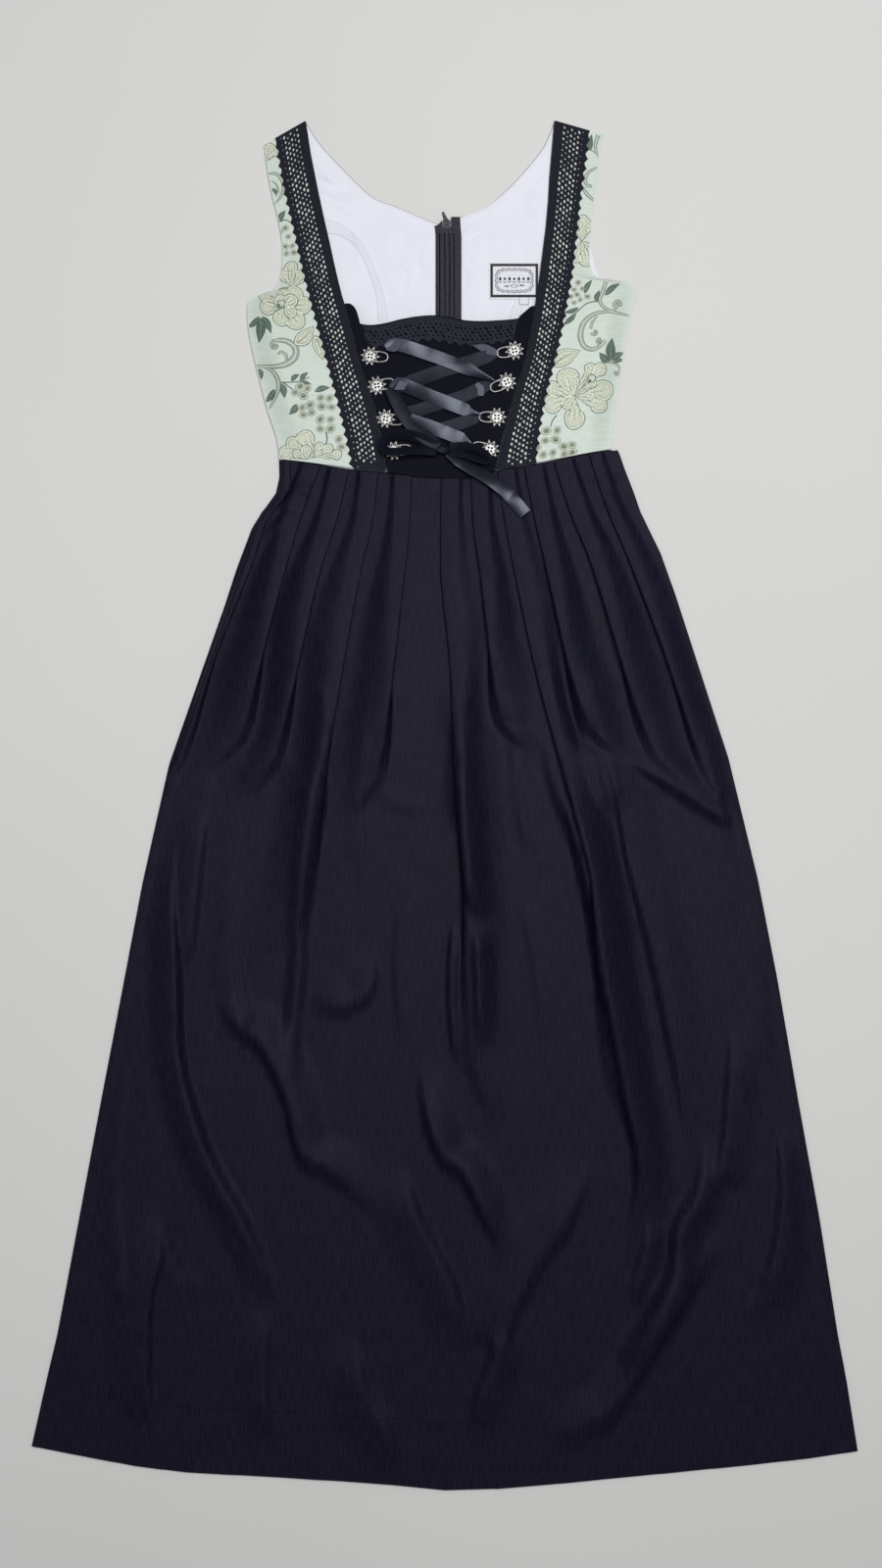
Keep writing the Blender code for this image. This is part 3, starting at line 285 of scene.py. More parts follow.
# %% The brocade's threads, the lining and the metal
GROUND = finish("brocade_ground", (0.535, 0.615, 0.555), (0.6, 0.67, 0.61), 0.46, ribs_of(0.9, 90),
                0.05, 60, 500, Sheen_Weight=0.1, Sheen_Roughness=0.4)
CREAM = finish("brocade_cream", (0.46, 0.5, 0.39), (0.7, 0.73, 0.6), 0.42, ribs_of(1.1, 35), 0.12,
               700, 500, Sheen_Weight=0.15, Sheen_Roughness=0.3)
SAGE = finish("brocade_sage", (0.15, 0.2, 0.16), (0.26, 0.315, 0.26),
              0.5, ribs_of(0.8, 60), 0.08, 400, 400)
LEAF_GREEN = finish("brocade_leaf", (0.05, 0.095, 0.07), (0.1, 0.16, 0.12), 0.5, ribs_of(0.8, 20),
                    0.08, 500, 500)
OLIVE = finish("brocade_olive", (0.185, 0.215, 0.155), (0.29, 0.33, 0.255),
               0.5, weave_of(0.5), 0.08, 900, 900)
MIST = finish("brocade_mist", (0.26, 0.315, 0.285), (0.36, 0.42, 0.385), 0.45,
              ribs_of(0.9, 50), 0.08, 500, 500)
IVORY = finish("brocade_ivory", (0.62, 0.66, 0.54), (0.78, 0.8, 0.66), 0.4,
               ribs_of(1, 35), 0.08, 700, 500)
LINING = finish("white_lining", (0.775, 0.785, 0.875), (0.8, 0.81, 0.9),
                0.85, weave_of(0.55), 0.02, 60, 30)
# The seam band's slightly darker white is painted shade of the seam.
SEAM_SHADE_CLOTH = finish("seam_band_painted_shade", (0.735, 0.735, 0.82), (0.77, 0.77, 0.86),
                    0.85, weave_of(0.55), 0.03, 60, 30)
# Grey for the seams' edge lines, which is painted shade; it also colours the neckline stitches.
SEAM_SHADE_AND_STITCH = finish("lining_seam_edge", (0.56, 0.56, 0.64), (0.64, 0.64, 0.72), 0.8)
SILVER = finish("silver", (0.32, 0.32, 0.315), (0.5, 0.5, 0.485), 0.48,
                None, 0, 900, 900, Metallic=0.7)
ZIP_METAL = finish("zip_metal", (0.06, 0.056, 0.07), (0.085, 0.078, 0.096), 0.55, None, 0, 700,
                   700, Metallic=0.1, Specular_IOR_Level=0.2)
FLOOR = finish("pale_floor", (0.668, 0.666, 0.66), (0.694, 0.692, 0.686), 0.75, None, 0, 1.2, 1.2)
floor.data.materials.append(FLOOR)
print("finishes so far:", len(bpy.data.materials))

# %% [markdown]
# The dark cloths need a tint of their own: cotton glows a little violet where
# the light grazes it, satin a cool blue.  The satin has a darker copy, painted
# shade for the lengths that lie in shade, and folds whose ribs run the other way.

# %% The dark cloths, the satin and the threads
SATIN_DARK, SATIN_LIGHT = (0.007, 0.0078, 0.014), (0.0118, 0.013, 0.0215)
SATIN_TINT = (0.76, 0.82, 1, 1)
COTTON = finish("dark_cotton", (0.003, 0.0029, 0.0098), (0.0085, 0.008, 0.02), 0.52, weave_of(0.8),
                0.06, 700, 55, Specular_IOR_Level=0.12, Specular_Tint=(0.84, 0.82, 1, 1))
BODICE_COTTON = finish("bodice_cotton", (0.003, 0.0033, 0.0078), (0.0062, 0.0066, 0.014), 0.65,
                       weave_of(0.8), 0.08, 700, 700, Specular_IOR_Level=0.05)
LACE = finish("black_lace", (0.006, 0.0072, 0.0125), (0.0215, 0.0235, 0.035), 0.8,
              ribs_of(0.9, 70), 0.1, 900, 900, Sheen_Weight=0.03, Sheen_Roughness=0.5,
              Specular_IOR_Level=0.14)
CROCHET = finish("crochet_cotton", (0.0105, 0.012, 0.02), (0.033, 0.036, 0.054), 0.8,
                 ribs_of(0.8, 30), 0.12, 900, 900, Specular_IOR_Level=0.14)
SATIN = finish("black_satin", SATIN_DARK, SATIN_LIGHT, 0.28, ribs_of(0.45, 70), 0.01, 300, 300,
               Specular_IOR_Level=0.38, Specular_Tint=SATIN_TINT)
SATIN_FOLD = finish("satin_fold", SATIN_DARK, SATIN_LIGHT, 0.34, ribs_of(0.45, 20), 0.012, 300,
                    300, Specular_IOR_Level=0.34, Specular_Tint=SATIN_TINT)
# A darker copy of the satin: painted shade for the ribbon lengths, bow loops and knot that lie in
# shade.
SATIN_PAINTED_SHADE = finish("satin_painted_shade", (0.0052, 0.006, 0.0115), (0.009, 0.01, 0.0175), 0.4,
                    ribs_of(0.5, 70), 0.02, 500, 500, Specular_IOR_Level=0.12,
                    Specular_Tint=SATIN_TINT)
TAPE = finish("zip_tape", (0.022, 0.022, 0.031), (0.058, 0.058, 0.076), 0.8, ribs_of(1.2, 0), 0.15,
              500, 900, Specular_IOR_Level=0.1)
LABEL_CLOTH = finish("label_cloth", (0.72, 0.73, 0.8), (0.8, 0.81, 0.87),
                     0.75, ribs_of(0.5, 90), 0.04, 900, 900)
LABEL_BLACK = finish("label_black", (0.01, 0.01, 0.013),
                     (0.02, 0.02, 0.026), 0.7, weave_of(0.5), 0.05)
LABEL_GREY = finish("label_grey", (0.13, 0.135, 0.16), (0.22, 0.23, 0.26),
                    0.7, weave_of(0.5), 0.05)
THREAD_DARK = finish("dark_thread", (0.012, 0.013, 0.019), (0.02, 0.021, 0.03), 0.6)
# Black thread; the same finish is the painted shade in the zip tape's grooves.
THREAD_BLACK_AND_GROOVE_SHADE = finish("black_thread_and_groove_shade", (0.0035, 0.0035, 0.006),
                      (0.006, 0.006, 0.009), 0.8, Specular_IOR_Level=0.05)
print("finishes:", len(bpy.data.materials))

# %% [markdown]
# ## Reading a piece from its solid
# A fine piece has to lie exactly where its solid lies.  So its outline is
# read from the solid: the edge of the faces that look up, walked round once.
# Four corners cut that outline into two sides, and a sheet is then a grid of
# points between the two sides.

# %% Outlines and sides of the solids
SIDES = ("left", "right")
WELD = 0.02  # points nearer than this are one


def outline(node):
    """A solid's outline from above: points in mm, walked anticlockwise."""
    shape = bmesh.new()
    shape.from_mesh(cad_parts[node].data)
    bmesh.ops.remove_doubles(shape, verts=shape.verts, dist=WELD * MM)
    shape.normal_update()
    up = {face for face in shape.faces if face.normal.z > 0.5}
    after = {}
    for face in up:
        for loop in face.loops:
            if not any(f in up for f in loop.edge.link_faces if f != face):
                after[loop.vert] = loop.link_loop_next.vert
    start = min(after, key=lambda vert: (vert.co.y, vert.co.x))
    points, vert = [], start
    while vert is not None and len(points) <= len(after):
        points.append((vert.co.x / MM, vert.co.y / MM))
        vert = after.get(vert)
        if vert is start:
            break
    shape.free()
    return np.array(points)


def walk(loop, a, b):
    """The part of a closed outline from point a on to point b."""
    span = (b - a) % len(loop)
    return loop[[(a + k) % len(loop) for k in range(span + 1)]]


def corners(loop):
    """Where an outline has its corners: top left, foot left, foot right
    and top right, in the way that it is walked."""
    x, y = loop.T
    return [int(np.argmax(corner)) for corner in (y - x, -x - y, x - y, x + y)]


def sides(node):
    """Left and right side of a solid, each from its top to its foot."""
    loop = outline(node)
    top_left, foot_left, foot_right, top_right = corners(loop)
    return (walk(loop, top_left, foot_left), walk(loop, foot_right, top_right)[::-1])


# %% Curves, grids and soft steps


def lengths(line):
    """Distance walked along a line of points, from 0."""
    steps = np.hypot(*np.diff(line, axis=0).T)
    return np.concatenate([[0], np.cumsum(steps)])


def smooth(at, keys, values):
    """A soft curve through a table, read at one place or at many."""
    keys, values = np.asarray(keys, float), np.asarray(values, float)
    last = len(keys) - 1
    low = np.maximum(np.arange(last + 1) - 1, 0)
    high = np.minimum(np.arange(last + 1) + 1, last)
    slope = (values[high] - values[low]) / (keys[high] - keys[low])
    at = np.clip(at, keys[0], keys[-1])
    k = np.clip(np.searchsorted(keys, at, side="right") - 1, 0, last - 1)
    span = keys[k + 1] - keys[k]
    t = (at - keys[k]) / span
    a, b = values[k], values[k + 1]
    rise = t * t * (3 - 2 * t)
    value = (a * (1 - rise) + b * rise + t * (1 - t) ** 2 * span * slope[k]
             + t * t * (t - 1) * span * slope[k + 1])
    return np.clip(value, np.minimum(a, b), np.maximum(a, b))


def read_line(line, walked, at, read=np.interp):
    """Points of a line of points, at some distances along it."""
    return np.column_stack([read(at, walked, axis) for axis in line.T])


def even(line, count, soft=True):
    """A line shared out into count + 1 points, even along its length."""
    walked = lengths(line)
    at = np.linspace(0, walked[-1], count + 1)
    return read_line(line, walked, at, smooth if soft else np.interp)


def normals(line):
    """Unit steps to the left of the way that a line of points runs."""
    way = np.gradient(line, axis=0)
    way /= np.hypot(*way.T)[:, None]
    return np.column_stack([-way[:, 1], way[:, 0]])


def between(left, right, columns):
    """A grid of points between two sides, left to right."""
    share = np.linspace(0, 1, columns + 1)[None, :, None]
    return left[:, None, :] * (1 - share) + right[:, None, :] * share


def smoothstep(t):
    """0 below 0, 1 above 1, and a soft step between."""
    t = np.clip(t, 0, 1)
    return t * t * (3 - 2 * t)


FRONT_SIDES = {side: sides("bodice_front_" + side) for side in SIDES}
print("front sides, points:", {k: (len(a), len(b)) for k, (a, b) in FRONT_SIDES.items()})

# %% [markdown]
# ## How the front lies over the back
# The front bodice rests on the back at its side seams and swells a few
# millimetres between them.  Everything on the front, from the brocade to the
# ribbon, is stacked on this one surface.

# %% The front's height
SEAM_GAP = 0.3
BROCADE = 1.2
COTTON_WALL = 1
FRONT_FLOOR = 2.8  # top of the lining and its gap
LIFT_Y = (322, 350, 380, 430, 470, 500, 545, 600, 660)
LIFT = (1.7, 3, 5, 6.4, 5.6, 3.8, 1.4, 0.6, 0.2)
LIFT_RUN = 24
print("the front rises over the back by up to", max(LIFT), "mm")

# %% Creases in the cloth
# A crease runs through three points; it has a height and half a width.
Crease = namedtuple("Crease", "x0 y0 x1 y1 x2 y2 height half")
BODICE_CREASES = [
    Crease(-186, 470, -160, 452, -134, 446, 0.5, 6),
    Crease(-181, 420, -150, 408, -120, 410, 0.4, 7),
    Crease(178, 470, 150, 446, 122, 440, 0.5, 6),
    Crease(170, 400, 142, 388, 110, 392, 0.4, 7),
    Crease(-150, 352, -130, 372, -118, 396, 0.4, 5),
    Crease(152, 360, 130, 384, 122, 410, 0.4, 5),
]


def beside_line(line, x, y):
    """For many points: distance to a line of points, how far to the left of
    its nearest stretch, and the share of the line up to there."""
    best = np.full(np.shape(x), 1e9)
    left, share = np.zeros_like(best), np.zeros_like(best)
    for k, (a, b) in enumerate(zip(line[:-1], line[1:])):
        dx, dy = b[0] - a[0], b[1] - a[1]
        t = ((x - a[0]) * dx + (y - a[1]) * dy) / (dx * dx + dy * dy)
        t = np.clip(t, 0, 1)
        gap = np.hypot(x - a[0] - t * dx, y - a[1] - t * dy)
        off = (dx * (y - a[1]) - dy * (x - a[0])) / math.hypot(dx, dy)
        near = gap < best
        best = np.where(near, gap, best)
        left = np.where(near, off, left)
        share = np.where(near, (k + t) / (len(line) - 1), share)
    return best, left, share


def relief_of(creases, x, y):
    """Height that a table of creases adds at many points.  The gentle flank
    of a crease lies to the left of the way that its points walk."""
    total = np.zeros_like(x)
    for crease in creases:
        line = [(crease.x0, crease.y0), (crease.x1, crease.y1), (crease.x2, crease.y2)]
        gap, left, share = beside_line(line, x, y)
        width = crease.half * (1.275 + 0.425 * left / np.maximum(gap, 0.01))
        fade = np.sin(np.pi * (0.05 + 0.9 * share)) ** 0.8
        total += crease.height * fade * np.exp(-(gap / width) ** 2)
    return total


def side_x(side, y):
    """x of the bodice's outer edge on one side, at height y."""
    line = FRONT_SIDES[side][0 if side == "left" else 1][::-1]
    return np.interp(y, line[:, 1], line[:, 0])


print("creases of the bodice:", len(BODICE_CREASES))

# %% The surface that everything on the front lies on


def front_z(x, y, over=0):
    """z of the front's underside, or of a point over it."""
    x, y = np.asarray(x, float), np.asarray(y, float)
    inside = np.minimum(x - side_x("left", y), side_x("right", y) - x)
    rise = smoothstep(inside / LIFT_RUN)
    return (FRONT_FLOOR + rise * np.interp(y, LIFT_Y, LIFT)
            + relief_of(BODICE_CREASES, x, y) + over)


def front_over(extra):
    """Height function for what lies that far over the underside."""
    return lambda x, y: front_z(x, y, extra)


print("height of the front's middle:", round(float(front_z(0, 400)), 1))

# %% [markdown]
# ## Making a sheet of cloth
# A sheet starts as a grid of points with no thickness.  Solidify gives it its
# wall, the solid that it stands for is hidden, it gets its finish, and its area
# is printed beside the size that the cloth was cut.

# %% Linking a piece, giving it a wall and printing its area


def area_of(item):
    """Area of a piece's faces in square metres, modifiers included."""
    graph = bpy.context.evaluated_depsgraph_get()
    mesh = item.evaluated_get(graph).to_mesh()
    total = sum(face.area for face in mesh.polygons)
    item.evaluated_get(graph).to_mesh_clear()
    return total


def place(item, look, slot, stands_for=(), body="dress"):
    """Link a piece, give it its finish, and let it ride on a body."""
    item.data.materials.append(look)
    bpy.context.scene.collection.objects.link(item)
    if stands_for:
        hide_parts(*stands_for)
    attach(item, body)
    return item


def thicken(item, wall, offset):
    """Give an open sheet its wall: offset 1 grows up, -1 down, 0 both.
    Its rim stays crisp, so that the light doesn't bend round it."""
    mesh = item.data
    edge_of_corner = np.empty(len(mesh.loops), np.int32)
    mesh.loops.foreach_get("edge_index", edge_of_corner)
    rim = np.bincount(edge_of_corner, minlength=len(mesh.edges)) == 1
    sharp = mesh.attributes.new("sharp_edge", "BOOLEAN", "EDGE")
    sharp.data.foreach_set("value", rim)
    shell = item.modifiers.new("wall", "SOLIDIFY")
    shell.thickness = wall * MM
    shell.offset = offset
    shell.use_even_offset = True


def new_piece(name, points, faces, wall, offset, look, slot, stands_for):
    """A piece from points in mm and faces; a wall makes it a sheet."""
    mesh = bpy.data.meshes.new(name)
    mesh.from_pydata((np.asarray(points) * MM).tolist(), [], faces)
    mesh.shade_smooth()
    item = bpy.data.objects.new(name, mesh)
    if wall is not None:
        thicken(item, wall, offset)
    return place(item, look, slot, stands_for)


def lay_cloth(piece, size, grow=1, most=1, digits=4):
    """Print a piece's area as cloth cut to that flat size in metres.  Its area is
    measured, and may grow a little but not past the size it is cut from."""
    area = min(area_of(piece) / 2 * grow, size[0] * size[1] * most)
    print(piece.name, "area in square metres:", round(area, digits))


# %% Sheets from a grid, and pieces made of many small ones


def cloth(name, grid, wall, look, slot, stands_for, offset=1):
    """A sheet from a grid of points in mm: rows down, columns right."""
    rows, columns = grid.shape[:2]
    index = np.arange(rows * columns).reshape(rows, columns)
    faces = np.stack([index[:-1, :-1], index[1:, :-1], index[1:, 1:], index[:-1, 1:]],
                     axis=-1).reshape(-1, 4)
    return new_piece(name, grid.reshape(-1, 3), faces.tolist(), wall,
                     offset, look, slot, stands_for)


def lift(points, height):
    """Add z to points of x and y: a number, an array or a function."""
    z = height(points[..., 0], points[..., 1]) if callable(height) else height
    z = np.broadcast_to(z, points.shape[:-1])
    return np.concatenate([points, z[..., None]], axis=-1)


class Pile:
    """Points and faces of one piece that is made of many small ones."""

    def __init__(self):
        self.points = []
        self.faces = []

    def add(self, points, faces):
        """Put one more small shape on the pile."""
        base = len(self.points)
        self.points.extend(tuple(p) for p in points)
        self.faces.extend(tuple(base + i for i in f) for f in faces)

    def make(self, name, look, slot, wall=None, offset=-1, stands_for=()):
        """Turn the pile into one piece."""
        return new_piece(name, self.points, self.faces, wall, offset, look, slot, stands_for)


# %% Cords and stitches


def tube(pile, line, radius, sides_round=6):
    """Add a round cord along a line of (x, y, z) points, ends closed."""
    line = np.asarray(line, float)
    ahead = np.gradient(line, axis=0)
    ahead /= np.linalg.norm(ahead, axis=1)[:, None]
    across = np.cross(ahead, (0, 0, 1))
    size = np.linalg.norm(across, axis=1)
    across[size < 0.05] = (1, 0, 0)
    across /= np.linalg.norm(across, axis=1)[:, None]
    up = np.cross(across, ahead)
    radius = np.broadcast_to(radius, len(line))
    points, faces = [], []
    for p, a, u, r in zip(line, across, up, radius):
        for k in range(sides_round):
            angle = 2 * math.pi * k / sides_round
            points.append(p + a * r * math.cos(angle) + u * r * math.sin(angle))
    for j in range(len(line) - 1):
        for k in range(sides_round):
            n = (k + 1) % sides_round
            a, b = j * sides_round, (j + 1) * sides_round
            faces.append((a + k, b + k, b + n, a + n))
    faces.append(tuple(range(sides_round)))
    last = (len(line) - 1) * sides_round
    faces.append(tuple(last + k for k in reversed(range(sides_round))))
    pile.add(points, faces)


def stitches(pile, line, pitch, share, radius):
    """Add a row of stitches along a line of (x, y, z) points; each one
    takes that share of the pitch."""
    walked = lengths(line[:, :2])
    for k in range(int(walked[-1] / pitch)):
        a, b = read_line(line, walked, [k * pitch, (k + share) * pitch])
        middle = (a + b) / 2 + (0, 0, radius * 0.6)
        tube(pile, [a, middle, b], [radius * 0.6, radius, radius * 0.6], 5)


# %% [markdown]
# ## Brocade fronts
# Each front is one piece with its strap.  Its grid follows the side seam, the
# armhole and the front edge.

# %% The two brocade fronts
PANEL_ROWS, PANEL_COLUMNS = 170, 52
FRONT_CUT = {"left": (0.135, 0.35), "right": (0.125, 0.35)}
for side in SIDES:
    left, right = (even(line, PANEL_ROWS) for line in FRONT_SIDES[side])
    panel = cloth("brocade_front_" + side,
                  lift(between(left, right, PANEL_COLUMNS), front_over(0)),
                  BROCADE, GROUND, "brocade", ["bodice_front_" + side])
    lay_cloth(panel, FRONT_CUT[side])

# %% [markdown]
# ## Flowers of the brocade
# The motifs are woven with thicker threads, so they stand a hair above the
# ground: cream petals with sage outlines, sage scrolls, dark green leaves and
# olive berries.  Every motif is a flat outline worked out by a formula.  It
# is cut off at the panel's edge, filled with small triangles so that it can
# follow the cloth, and laid on it.

# %% Filling flat outlines with triangles
FILL_SPACING = 2.2


def inside_outline(loop, points):
    """Which points lie inside a closed outline."""
    x, y = points[:, 0], points[:, 1]
    a, b = loop, np.roll(loop, -1, axis=0)
    hit = np.zeros(len(points), bool)
    for (x0, y0), (x1, y1) in zip(a, b):
        if y0 == y1:
            continue
        crosses = (y0 > y) != (y1 > y)
        hit ^= crosses & (x < (x1 - x0) * (y - y0) / (y1 - y0) + x0)
    return hit


def is_anticlockwise(loop):
    """Whether an outline is walked anticlockwise: its area is positive."""
    after = np.roll(loop, -1, axis=0)
    return np.sum(loop[:, 0] * after[:, 1] - after[:, 0] * loop[:, 1]) > 0


def fill_flat(loop, keep=None, holes=(), spacing=FILL_SPACING):
    """Triangles of an outline, cut off outside keep and open at holes."""
    mesh_x, mesh_y = np.meshgrid(*(np.arange(axis.min(), axis.max(), spacing) for axis in loop.T))
    mesh_x[1::2] += spacing / 2
    spare = np.column_stack([mesh_x.ravel(), mesh_y.ravel()])
    spare = spare[inside_outline(loop, spare)]
    loops, inside, open_at = [loop, *holes], {0}, set(range(1, 1 + len(holes)))
    if keep is not None and not inside_outline(keep, loop).all():
        inside.add(len(loops))
        loops.append(keep)
        spare = spare[inside_outline(keep, spare)]
    points, faces = [], []
    for line in loops:
        faces.append(list(range(len(points), len(points) + len(line))))
        points.extend((line if is_anticlockwise(line) else line[::-1]).tolist())
    points.extend(spare.tolist())
    out, _, triangles, _, _, origin = delaunay_2d_cdt(
        [Vector(p) for p in points], [], faces, 1, 1e-4)
    used = []
    for triangle, source in zip(triangles, origin):
        if not inside <= set(source) or open_at & set(source):
            continue
        a, b, c = (out[i] for i in triangle)
        turn = (b - a).cross(c - a)
        if abs(turn) > 1e-6:
            used.append(triangle if turn > 0 else triangle[::-1])
    wanted = sorted({i for t in used for i in t})
    number = {old: new for new, old in enumerate(wanted)}
    return (np.array([out[i] for i in wanted]), [tuple(number[i] for i in t) for t in used])


# %% Laying an outline, moving it and drawing it in


def lay_filled(pile, loop, height, keep=None, holes=(), spacing=FILL_SPACING):
    """Fill an outline, lift it to a height and add it to a pile."""
    points, triangles = fill_flat(np.asarray(loop, float), keep, holes, spacing)
    if triangles:
        pile.add(lift(points, height), triangles)


def move(loop, x, y, turn=0):
    """An outline turned by degrees and moved to a place."""
    c, s = math.cos(math.radians(turn)), math.sin(math.radians(turn))
    return loop @ np.array([[c, s], [-s, c]]) + (x, y)


def left_of(loop):
    """Unit steps to the left of the way that an outline is walked."""
    way = np.roll(loop, -1, axis=0) - np.roll(loop, 1, axis=0)
    way /= np.hypot(*way.T)[:, None]
    return np.column_stack([-way[:, 1], way[:, 0]])


def inset(loop, by):
    """An outline drawn in by a distance, for the fill inside an edge."""
    side = 1 if is_anticlockwise(loop) else -1
    return loop + side * by * left_of(loop)


# %% Outlines of leaves, petals and berries


def blade(x, middle, half):
    """An outline that lies half a width to both sides of a middle line."""
    return np.vstack([np.column_stack([x, middle + half]),
                      np.column_stack([x, middle - half])[::-1]])


def leaf(length, width, lean=0, steps=10):
    """A pointed leaf from (0, 0) along +X that leans to one side."""
    t = np.linspace(0, 1, steps + 1)
    half = width / 2 * np.sin(np.pi * t ** 0.8)
    ring = blade(length * t, lean * np.sin(np.pi * t), half)
    # the foot and the tip are in both halves of the ring, so one of each goes
    return np.delete(ring, [steps + 1, -1], axis=0)


def leaf_rib(length, width, lean=0, steps=8):
    """The middle rib of that leaf, as a thin outline."""
    t = np.linspace(0.08, 0.86, steps + 1)
    half = 0.06 * width * (1.1 - t)
    return blade(length * t, lean * np.sin(np.pi * t), half)


def lobe(length, width, lean=0, steps=26):
    """A rounded petal from (0, 0) along +X, broadest near its tip."""
    angle = np.linspace(-0.82, 0.82, steps + 1) * math.pi
    half = min(width / 2, length * 0.55)
    bump = 1 + 0.045 * np.cos(3 * angle + lean)
    x = length - half + half * bump * np.cos(angle)
    y = width / 2 * bump * np.sin(angle)
    return np.vstack([np.column_stack([x, y]), [[0, 0]]])


def disc(radius, squash=1, steps=12):
    """A berry."""
    angle = np.linspace(0, 2 * np.pi, steps, endpoint=False)
    return np.column_stack([radius * np.cos(angle), radius * squash * np.sin(angle)])


# %% Outlines of stems, scrolls and curls


def soft_line(points, count):
    """count + 1 points of a curve that runs smoothly through its points,
    past their extremes."""
    values = np.array(points, float)
    last = len(values) - 1
    at = np.linspace(0, last, count + 1)
    k = np.clip(at.astype(int), 0, last - 1)
    t = (at - k)[:, None]
    before, after = (values[np.maximum(k - 1, 0)], values[np.minimum(k + 2, last)])
    a, b = values[k], values[k + 1]
    return (a + 0.5 * t * (b - before
            + t * (2 * before - 5 * a + 4 * b - after
                   + t * (3 * (a - b) + after - before))))


def stroke(points, widths, count=36):
    """A line of changing width: a stem or a scroll, as an outline."""
    middle, last = soft_line(points, count), len(points) - 1
    width = np.interp(np.linspace(0, last, count + 1), np.linspace(0, last, len(widths)), widths)
    off = normals(middle) * width[:, None] / 2
    return np.vstack([middle + off, (middle - off)[::-1]])


def curl(x, y, radius, start, sweep, steps=7, shrink=0.28):
    """Points of a curl that winds into its centre; angles in degrees."""
    share = np.arange(steps + 1) / steps
    reach = radius * (1 - (1 - shrink) * share)
    angle = np.radians(start + sweep * share)
    return np.column_stack([x + reach * np.cos(angle), y + reach * np.sin(angle)])


# %% [markdown]
# A drawing collects the outlines of one panel, sorted by thread colour and
# by height over the ground.  What lies higher is drawn later, as a woven
# petal covers the stem behind it.

# %% The drawing of one panel
PANEL_MARGIN = 0.8  # the motifs end this far inside the edge
THREAD_WALL = 0.1
THREADS = {"sage": SAGE, "cream": CREAM, "leaf": LEAF_GREEN,
           "olive": OLIVE, "mist": MIST, "ivory": IVORY}


class Drawing:
    """Motif outlines on one brocade front, by thread colour."""

    def __init__(self, side):
        self.side = side
        self.keep = inset(outline("bodice_front_" + side), PANEL_MARGIN)
        self.piles = {}

    def fill(self, thread, loop, over):
        """Lay one outline on the cloth, over mm above its ground."""
        lay_filled(self.piles.setdefault(thread, Pile()), loop,
                   front_over(BROCADE + over), self.keep)

    def make(self):
        """One raised piece for each thread colour."""
        for thread, pile in self.piles.items():
            name = "brocade_" + thread + "_" + self.side
            pile.make(name, THREADS[thread], "brocade", THREAD_WALL)
            print(name, "triangles:", len(pile.faces))


# %% [markdown]
# A leaf is dark with a pale rib, or large and pale with veins.  A petal has
# a sage edge, an ivory ring and a cream fill that is hatched towards its
# foot.  Each ring is the same outline, drawn in a little and laid a little
# higher, so one loop makes them all.

# %% Leaves and flowers


def green_leaf(panel, x, y, turn, length, width=None, lean=1.2):
    """A dark leaf with a pale rib."""
    width = width or length * 0.36
    panel.fill("leaf", move(leaf(length, width, lean), x, y, turn), 0.12)
    panel.fill("sage", move(leaf_rib(length, width, lean), x, y, turn), 0.2)


def cream_leaf(panel, x, y, turn, length, width=None, lean=1):
    """A large pale leaf: sage edge, ivory ring, cream fill, a rib."""
    width = width or length * 0.5
    for thread, by, over in (("sage", 0, 0.12), ("ivory", 1.1, 0.2),
                             ("sage", 2.4, 0.28), ("cream", 3, 0.36)):
        shape = leaf(length - 2.6 * by, width - 2 * by, lean, 16)
        panel.fill(thread, move(shape + (1.3 * by, 0), x, y, turn), over)
    rib = leaf_rib(length * 0.8, width * 0.8, lean)
    panel.fill("sage", move(rib + (length * 0.1, 0), x, y, turn), 0.46)
    for k in range(1, 6):
        for way in (-1, 1):
            vein = leaf_rib(width * 0.34, 2.2)
            at = 0.1 + 0.13 * k
            base = (length * at, lean * math.sin(math.pi * at))
            vein = move(vein, *base, way * 42)
            panel.fill("ivory", move(vein, x, y, turn), 0.46)


def petal(panel, x, y, turn, length, width, over=0.12, lean=0):
    """One rounded petal with a sage edge, an ivory ring and hatching."""
    for thread, by, up in (("sage", 0, 0), ("ivory", 1.25, 0.08),
                           ("sage", 2.7, 0.16), ("cream", 3.2, 0.24)):
        shape = lobe(length - 1.9 * by, width - 2 * by, lean)
        panel.fill(thread, move(shape + (by, 0), x, y, turn), over + up)
    for k in range(-3, 4):
        off = k * width / 10
        run = length * (0.42 - 0.03 * abs(k))
        line = leaf_rib(run, 6.4) + (length * 0.36, off)
        thread = "ivory" if k % 2 else "sage"
        panel.fill(thread, move(line, x, y, turn + 1.2 * k), over + 0.32)


def flower(panel, x, y, petals, over=0.12):
    """Petals round a centre; each is (turn, length, width)."""
    for k, (turn, length, width) in enumerate(petals):
        petal(panel, x, y, turn, length, width, over + 0.02 * k, k)


def eye(panel, x, y, turn, size):
    """The dark eye of a flower in its drop-shaped heart."""
    panel.fill("sage", move(lobe(size * 3.4, size * 1.9) - (size * 1.5, 0), x, y, turn), 0.86)
    panel.fill("cream", move(lobe(size * 2.7, size * 1.3) - (size * 1.1, 0), x, y, turn), 0.94)
    panel.fill("leaf", move(disc(size * 0.5, 0.7), x + size * 0.2, y, turn), 1.02)


# %% [markdown]
# A scroll is a band of changing width with a pale line along it, and it may
# roll up into a knob.  Berries are ovals that each lie a little differently.

# %% Scrolls, stems and berries


def scroll(panel, points, widths, over=0.1):
    """A scroll: dark sage edges, a paler body and a fine pale line."""
    panel.fill("sage", stroke(points, widths), over)
    panel.fill("mist", stroke(points, [max(w - 1.9, 0.3) for w in widths]), over + 0.09)
    panel.fill("ivory", stroke(points, [w * 0.14 for w in widths]), over + 0.17)


